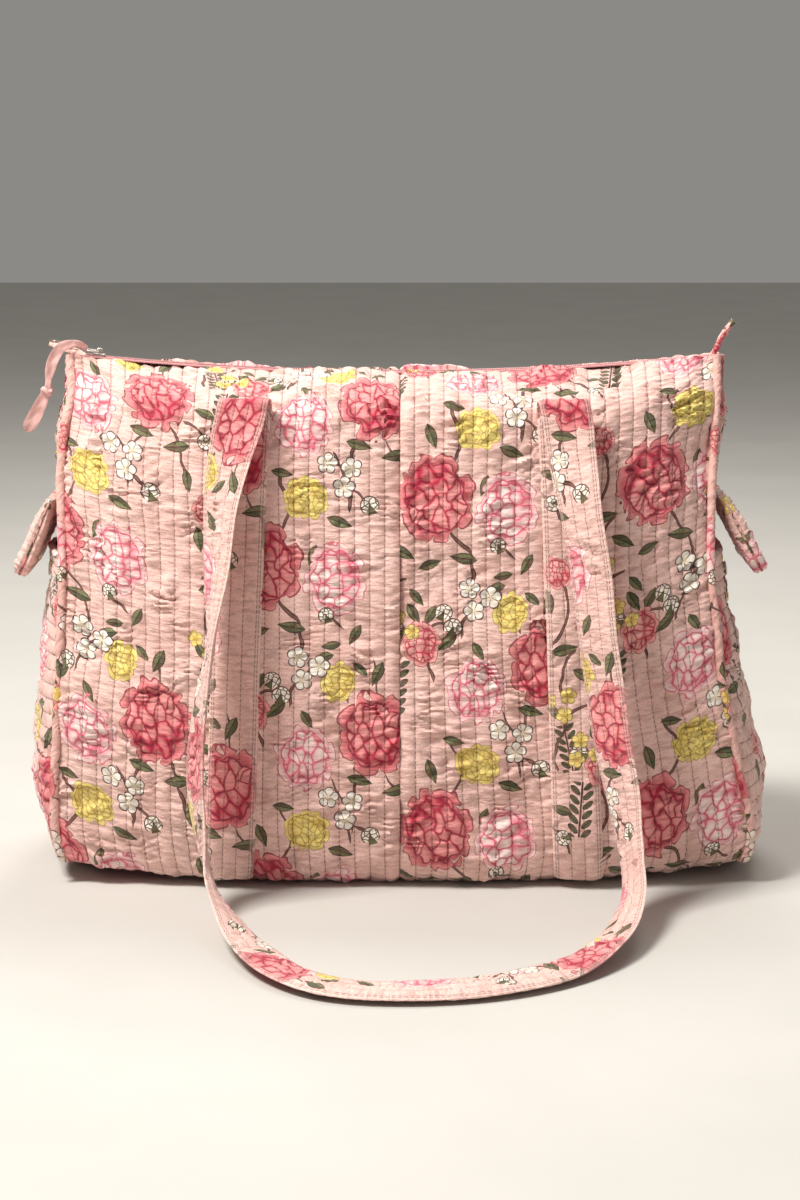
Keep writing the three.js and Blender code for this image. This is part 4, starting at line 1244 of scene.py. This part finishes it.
# ---- Pocket flaps and snaps ----
FLAP_LENGTH = 58.0
FLAP_WIDTH = 90.0
FLAP_THICKNESS = 11.5
FLAP_EDGE = 6.5  # how far from its seam a flap reaches its full thickness
FLAP_OVERHANG = 1.8  # how far the padding bulges past the seam
FLAP_HEIGHT = 256
FLAP_CORNER = 13.0
FLAP_ROOT = 16.0  # the length that bends when a flap is lifted, because its edge is sewn to the side wall
FLAPS = {"left": (-231.8, 24), "right": (214.8, 29)}  # distance across and lean in degrees
SNAP_ALONG_FLAP = 44
SOCKET_ROW = 0.52


def flap_frame(side_name, side):
    """Origin, direction down the flap and direction out of its outer face."""
    x, lean = FLAPS[side_name]
    lean = math.radians(lean)
    down = np.array([side * math.sin(lean), 0, -math.cos(lean)])
    outward = np.array([side * math.cos(lean), 0, math.sin(lean)])
    return np.array([x, 0, FLAP_HEIGHT]), down, outward


def bend_at_root(piece, shape, side_name, side):
    """Bends a piece of a flap between the side wall and the flap's free end."""
    origin, down, _ = flap_frame(side_name, side)
    bend(piece, "shell", f"flap_{side_name}", smoothstep((shape.points - origin) @ down, 0, FLAP_ROOT))


def flap(side_name, side):
    origin, down, outward = flap_frame(side_name, side)
    width_places = channel_places(FLAP_WIDTH) - FLAP_WIDTH / 2
    shares = np.sin(np.linspace(0, math.pi / 2, 60))
    across, length = np.meshgrid(width_places / (FLAP_WIDTH / 2), shares * FLAP_LENGTH)
    into_corner = np.clip((length - (FLAP_LENGTH - FLAP_CORNER)) / FLAP_CORNER, 0, 1)
    half_width = FLAP_WIDTH / 2 - FLAP_CORNER * (1 - np.sqrt(1 - into_corner**2))
    y = across * half_width
    beside = half_width - np.abs(y)
    below = FLAP_LENGTH - length
    from_seam = np.clip(np.minimum(beside, below) / FLAP_EDGE, 0, 1)
    fullness = np.sqrt(1 - (1 - from_seam) ** 2) * lerp(0.35, 1, smoothstep(length, -4, 24))
    fullness = np.maximum(fullness, 0.06)
    overhang = FLAP_OVERHANG * np.sin(math.pi * from_seam**0.7) * smoothstep(length, 0, 12)
    toward_tip = smoothstep(beside - below, -3, 3)
    ripple = quilt_relief(width_places[None, :] + FLAP_WIDTH / 2 + 0 * length, length, 110 + side, PUFF)
    thickness = FLAP_THICKNESS / 2 * fullness
    middle = FLAP_THICKNESS / 2 - 3.2 * (length / FLAP_LENGTH) ** 2 * (1 - length / FLAP_LENGTH)
    outer_lift = middle + thickness + (ripple - 0.8) * smoothstep(from_seam, 0, 0.8)
    inner_lift = middle - thickness - 0.5 * (ripple - 0.9) * smoothstep(from_seam, 0, 0.8)

    def placed(lift, bulge=1.0):
        low = length + bulge * overhang * toward_tip
        wide = y + bulge * overhang * (1 - toward_tip) * np.sign(y)
        across_flap = np.array([0, 1, 0]) * wide[..., None]
        return origin + down * low[..., None] + outward * lift[..., None] + across_flap

    printed = np.stack([y + 60 - 20 * side, 210 - length], axis=-1)
    stitched = np.stack([width_places[None, :] + FLAP_WIDTH / 2 + 0 * length, length], axis=-1)
    shape = cloth_between(placed(outer_lift), placed(inner_lift), printed, stitched)
    piece = add_piece(f"pocket_flap_{side_name}", shape, PRINT)
    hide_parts(f"flap_{side_name}")
    bend_at_root(piece, shape, side_name, side)
    seam = placed(middle, bulge=0)
    rim = np.concatenate([seam[1:, 0], seam[-1, 1:-1], seam[:0:-1, -1]])
    shape = tube(rim, 0.8, 8, bias=True)
    binding = add_piece(f"flap_seam_{side_name}", shape, PIPING)
    bend_at_root(binding, shape, side_name, side)


def turned_ring(profile, origin, axis, sides=40):
    """A round part from [radius, height] pairs, standing on origin along axis."""
    axis = unit(np.array(axis, float))
    across = unit(np.cross(axis, [0, 1, 0]))
    deep = np.cross(axis, across)
    angles = np.linspace(0, 2 * math.pi, sides, endpoint=False)
    radii = np.array([p[0] for p in profile])[:, None, None]
    heights = np.array([p[1] for p in profile])[:, None, None]
    round_about = np.cos(angles)[None, :, None] * across + np.sin(angles)[None, :, None] * deep
    return ring_stack(np.array(origin) + radii * round_about + heights * axis)


SNAP_PROFILE = [[0.6, 0], [4.4, 0], [4.9, 0.25], [5.0, 0.7], [4.8, 1.1], [4.2, 1.3], [3.6, 1.2], [3.3, 1.0],
                [3.1, 1.2], [2.9, 1.8], [2.5, 2.05], [1.6, 2.1], [1.2, 1.9], [1.0, 1.5], [0.5, 1.4]]


def snaps(side_name, side):
    origin, down, outward = flap_frame(side_name, side)
    stud = turned_ring(SNAP_PROFILE, origin + down * SNAP_ALONG_FLAP - outward * 0.2, -outward)
    piece = add_piece(f"flap_snap_{side_name}", stud, SNAP)
    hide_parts(f"snap_stud_{side_name}")
    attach(piece, f"flap_{side_name}")
    low, high = (np.array(corner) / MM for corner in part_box(f"snap_socket_{side_name}"))
    foot = side_points(side, np.array([0.0]), np.array([SOCKET_ROW]), 1.0)[0]
    above = side_points(side, np.array([0.0]), np.array([SOCKET_ROW + 0.02]), 1.0)[0]
    normal = unit(np.cross(above - foot, [0, side, 0]))
    centre = (low + high) / 2
    socket = turned_ring(SNAP_PROFILE, centre - normal * 0.9, normal)
    piece = add_piece(f"pocket_snap_{side_name}", socket, SNAP)
    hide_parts(f"snap_socket_{side_name}")
    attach(piece, "shell")


# ---- Zip ----
TAPE_INNER = 2.2
TAPE_OUTER = 9.5
TAPE_THICKNESS = 0.8
COIL_PITCH = 1.5
COIL_WIRE = 0.36
COIL_REACH = 1.5
COIL_MIDDLE = 1.35
COIL_RISE = 0.75
TAPE_END = 221
COIL_END = 213


def zip_strip(facing, start, end, inner, outer):
    across, x = np.meshgrid(np.linspace(inner, outer, 7), even_places(end - start, 3.0) + start)
    height = zip_height(x)
    top = np.stack([x, facing * across, height + TAPE_THICKNESS / 2], axis=-1)
    bottom = top - np.array([0, 0, TAPE_THICKNESS])
    place = np.stack([across, x], axis=-1)
    return cloth_between(top, bottom, place, place)


def coil(facing, start, end):
    turns = (end - start) / COIL_PITCH
    phase = np.linspace(0, turns * 2 * math.pi, int(turns * 10))
    x = start + phase / (2 * math.pi) * COIL_PITCH
    y = facing * (COIL_MIDDLE + COIL_REACH * np.cos(phase + (0 if facing < 0 else math.pi)))
    z = zip_height(x) + 0.35 + COIL_RISE * np.sin(phase)
    return tube(np.stack([x, y, z], axis=-1), COIL_WIRE, 6)


def zip_half(face, facing):
    half = MOUTH_HALF_WIDTH
    strip = zip_strip(facing, -half, half, TAPE_INNER, TAPE_OUTER)
    teeth = coil(facing, -half, half)
    parts = (("tape", strip, TAPE, "zip_tape"), ("coil", teeth, COIL, "zip_coil"))
    for label, shape, material, slot in parts:
        piece = add_piece(f"{face}_{label}", shape, material)
        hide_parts(f"{face}_zip_{label}")
        x = shape.points[:, 0]
        bend(piece, "shell", f"mouth_{face}", mouth_weights(x, np.ones_like(x)))


def zip_end(side_name, side):
    """The zip beyond the mouth: both tapes, the last of the coils, and the stop."""
    half = MOUTH_HALF_WIDTH
    start, end = sorted((side * half, side * TAPE_END))
    tapes = [zip_strip(facing, start, end, TAPE_INNER - 1.2, TAPE_OUTER - 2) for _, facing in FACES]
    piece = add_piece(f"zip_end_tape_{side_name}", joined(tapes), TAPE)
    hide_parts(f"zip_tape_end_{side_name}")
    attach(piece, "shell")
    start, end = sorted((side * half, side * COIL_END))
    parts = [coil(facing, start, end) for _, facing in FACES]
    stop_x = side * (COIL_END + 2.2)
    parts.append(rounded_block((stop_x, 0, zip_height(stop_x) + 0.3), (3.2, 5.6, 2.2)))
    piece = add_piece(f"zip_end_stop_{side_name}", joined(parts), COIL)
    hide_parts(f"zip_stop_{side_name}")
    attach(piece, "shell")


SLIDER_PARK = 207.0
SLIDER_LENGTH = 9.0


def parked(points):
    """Points in the slider's own frame, moved to where it is parked at the left end of the zip."""
    tilt = math.asin(SLIDER_PARK / ZIP_ARC_RADIUS)
    x, y, z = np.asarray(points, float).T
    along = x * math.cos(tilt) + z * math.sin(tilt)
    up = z * math.cos(tilt) - x * math.sin(tilt)
    return np.stack([along, y, up], axis=-1) + np.array([-SLIDER_PARK, 0, float(zip_height(SLIDER_PARK))])


def slider():
    parts = [rounded_block((0, 0, 1.95), (SLIDER_LENGTH, 8, 1.3), 18, 4.0),
             rounded_block((0, 0, -1.95), (SLIDER_LENGTH, 8, 1.3), 18, 4.0),
             rounded_block((2.2, 0, 0), (1.6, 1.0, 4.2), 12, 4.0)]
    for edge in (-1, 1):
        parts.append(rounded_block((0, edge * 3.7, 1.4), (SLIDER_LENGTH * 0.85, 0.8, 1.8), 12, 5.0))
    angles = np.linspace(0, math.pi, 25)
    arch = np.stack([2.3 * np.cos(angles), 0 * angles, 2.5 + 2.9 * np.sin(angles) ** 0.8], axis=-1)
    parts.append(tube(arch, 0.75, 12))
    shape = joined(parts)
    shape.points = parked(shape.points)
    piece = add_piece("zip_slider", shape, METAL)
    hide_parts("slider_body")
    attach(piece, "slider")
    half, end, corner = 5.0, -9.4, 2.4
    corners = [(0, -half), (0, half), (end, half), (end, -half)]
    path = []
    for number, (x, y) in enumerate(corners):
        toward = (corner if x == end else -corner, corner if y < 0 else -corner)
        middle = np.array([x + toward[0], y + toward[1]])
        turn = [-90, 0, 90, 180][number]
        for angle in np.radians(np.linspace(turn, turn + 90, 9)):
            path.append([middle[0] + corner * math.cos(angle), middle[1] + corner * math.sin(angle), 3.75])
    ring = tube(parked(path), 0.62, 10, closed=True)
    piece = add_piece("slider_ring", ring.facing_out(), METAL)
    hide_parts("pull_ring")
    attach(piece, "pull")


def soft_strip(route, widths, thickness, place, step=0.8, columns=11, seed=5):
    """A narrow strip of folded cloth along a route, with its width and thickness changing from end to end."""
    middle, across, normal, along, _ = follow(route, 0, len(route) - 1, step)
    share = along / along[-1]
    width = hermite(np.linspace(0, 1, len(widths)), widths, share)
    rounding = np.sqrt(np.clip((1 - share) * along[-1] / (width / 2), 0.02, 1).clip(0, 1))
    shares = np.linspace(-1, 1, columns)[None, :]
    distance = shares * (width * rounding / 2)[:, None]
    half = thickness / 2 * np.sqrt(np.clip(1 - np.abs(shares) ** 4, 0.05, 1)) + 0 * distance
    half = half * (1 + 0.2 * waves(along[:, None] + 0 * distance, distance, seed, 6))
    curl = 0.12 * width[:, None] * shares**2
    curl = curl + 0.4 * waves(along[:, None] + 0 * distance, distance, seed + 1, 14)
    outer, inner = both_faces(middle, across, normal, distance, curl, half)
    printed = np.stack([distance + place[0], along[:, None] + place[1] + 0 * distance], axis=-1)
    return cloth_between(outer, inner, printed, printed), float(along[-1])


RIBBON_ROUTE = [(-215, 358), (-221, 361.5), (-231, 359.5), (-237.5, 351), (-240.5, 340.5), (-242.5, 329),
                (-246, 322), (-250, 314), (-254, 307), (-257.5, 301)]
RIBBON_WIDTHS = [3.5, 5, 7, 7.5, 7, 4, 7, 9, 9.5, 9]
RIBBON_PLANE = -8.2
TAB_WIDTHS = {"left": [9, 12, 13, 13], "right": [5, 7, 11, 13]}
TAB_TILT = {"left": 22, "right": 58}
TAB_LENGTH = 25


def ribbon():
    route = []
    for number, (x, z) in enumerate(RIBBON_ROUTE):
        before = RIBBON_ROUTE[max(number - 1, 0)]
        after = RIBBON_ROUTE[min(number + 1, len(RIBBON_ROUTE) - 1)]
        y = RIBBON_PLANE + (4 if number == 0 else 0)
        route.append([x, y, z, -(after[1] - before[1]), 3, after[0] - before[0]])
    shape, length = soft_strip(route, RIBBON_WIDTHS, 1.5, (0, 0))
    knot_path = [[-242.5 + 2.6 * math.cos(a), RIBBON_PLANE + 3.2 * math.sin(a), 329 + 1.5 * math.sin(2 * a)]
                 for a in np.linspace(0, 2 * math.pi, 28, endpoint=False)]
    shape = joined([shape, tube(knot_path, 1.7, 9, closed=True).facing_out()])
    piece = add_piece("ribbon", shape, RIBBON)
    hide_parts("pull_ribbon")
    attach(piece, "pull")
    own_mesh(piece)


def end_tabs():
    for side_name, side in SIDES:
        tilt = math.radians(TAB_TILT[side_name])
        start = np.array([side * 214.0, 1.0, 350.5])
        along = np.array([side * math.cos(tilt), 0, math.sin(tilt)])
        route = []
        for share in np.linspace(0, 1, 5):
            bow = np.array([0, 0.6, 1.8 * math.sin(3 * share)])
            route.append([*(start + along * TAB_LENGTH * 1.2 * share + bow), 0, 1, 0.15])
        shape, length = soft_strip(route, TAB_WIDTHS[side_name], 3.4, (90 + 20 * side, 60), seed=15)
        tab = add_piece(f"end_tab_{side_name}", shape, PLAIN_PRINT)
        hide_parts(f"zip_tab_{side_name}")
        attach(tab, "shell")


# ---- Assembly ----
for face, facing in FACES:
    for side_name, side in SIDES:
        half_wall(face, facing, side_name, side)
        sewn_leg(face, facing, side_name, side)
        piping(face, facing, side_name, side)
    wall_lining(face, facing)
    free_strap(face, facing)
    zip_half(face, facing)
for side_name, side in SIDES:
    side_wall(side_name, side)
    side_lining(side_name, side)
    pocket(side_name, side)
    flap(side_name, side)
    snaps(side_name, side)
    zip_end(side_name, side)
base_panel()
slider()
ribbon()
end_tabs()


# ---- Studio ----
# Each lamp's place and size in metres, and its power in watts.
LAMPS = [("key", (-1.0, -0.75, 2.2), 0.7, 82), ("fill", (1.8, -1.6, 1.0), 1.8, 4),
         ("rim", (0.3, 1.2, 2.2), 1.2, 34)]
LAMP_COLOUR = (1.0, 0.97, 0.93)
LAMP_TARGET = (0, 0, 0.15)
SKY_STRENGTH = 0.29


def studio():
    bpy.ops.mesh.primitive_plane_add(size=14)
    floor = bpy.context.object
    floor.name = "floor"
    material, g, shader = new_material("pale_floor")
    place = g.node("ShaderNodeTexCoord").outputs["Object"]
    uneven = g.noise(place, 6.0, 4.0)
    g.feed(shader.inputs["Base Color"], g.mix(uneven, rgb(0xBDBAB4), rgb(0xC8C5BF)))
    shader.inputs["Roughness"].default_value = 0.8
    floor.data.materials.append(material)

    world = bpy.data.worlds.new("studio")
    world.use_nodes = True
    world.node_tree.nodes["Background"].inputs["Color"].default_value = rgb(0xF4F1EC)
    world.node_tree.nodes["Background"].inputs["Strength"].default_value = SKY_STRENGTH
    bpy.context.scene.world = world
    for name, place, size, power in LAMPS:
        lamp = bpy.data.lights.new(name, "AREA")
        lamp.size = size
        lamp.energy = power
        lamp.color = LAMP_COLOUR
        holder = bpy.data.objects.new(name, lamp)
        bpy.context.scene.collection.objects.link(holder)
        holder.location = place
        direction = np.array(LAMP_TARGET) - np.array(place)
        holder.rotation_euler = Vector(direction).to_track_quat("-Z", "Y").to_euler()
    bpy.context.scene.view_settings.view_transform = "Standard"


studio()
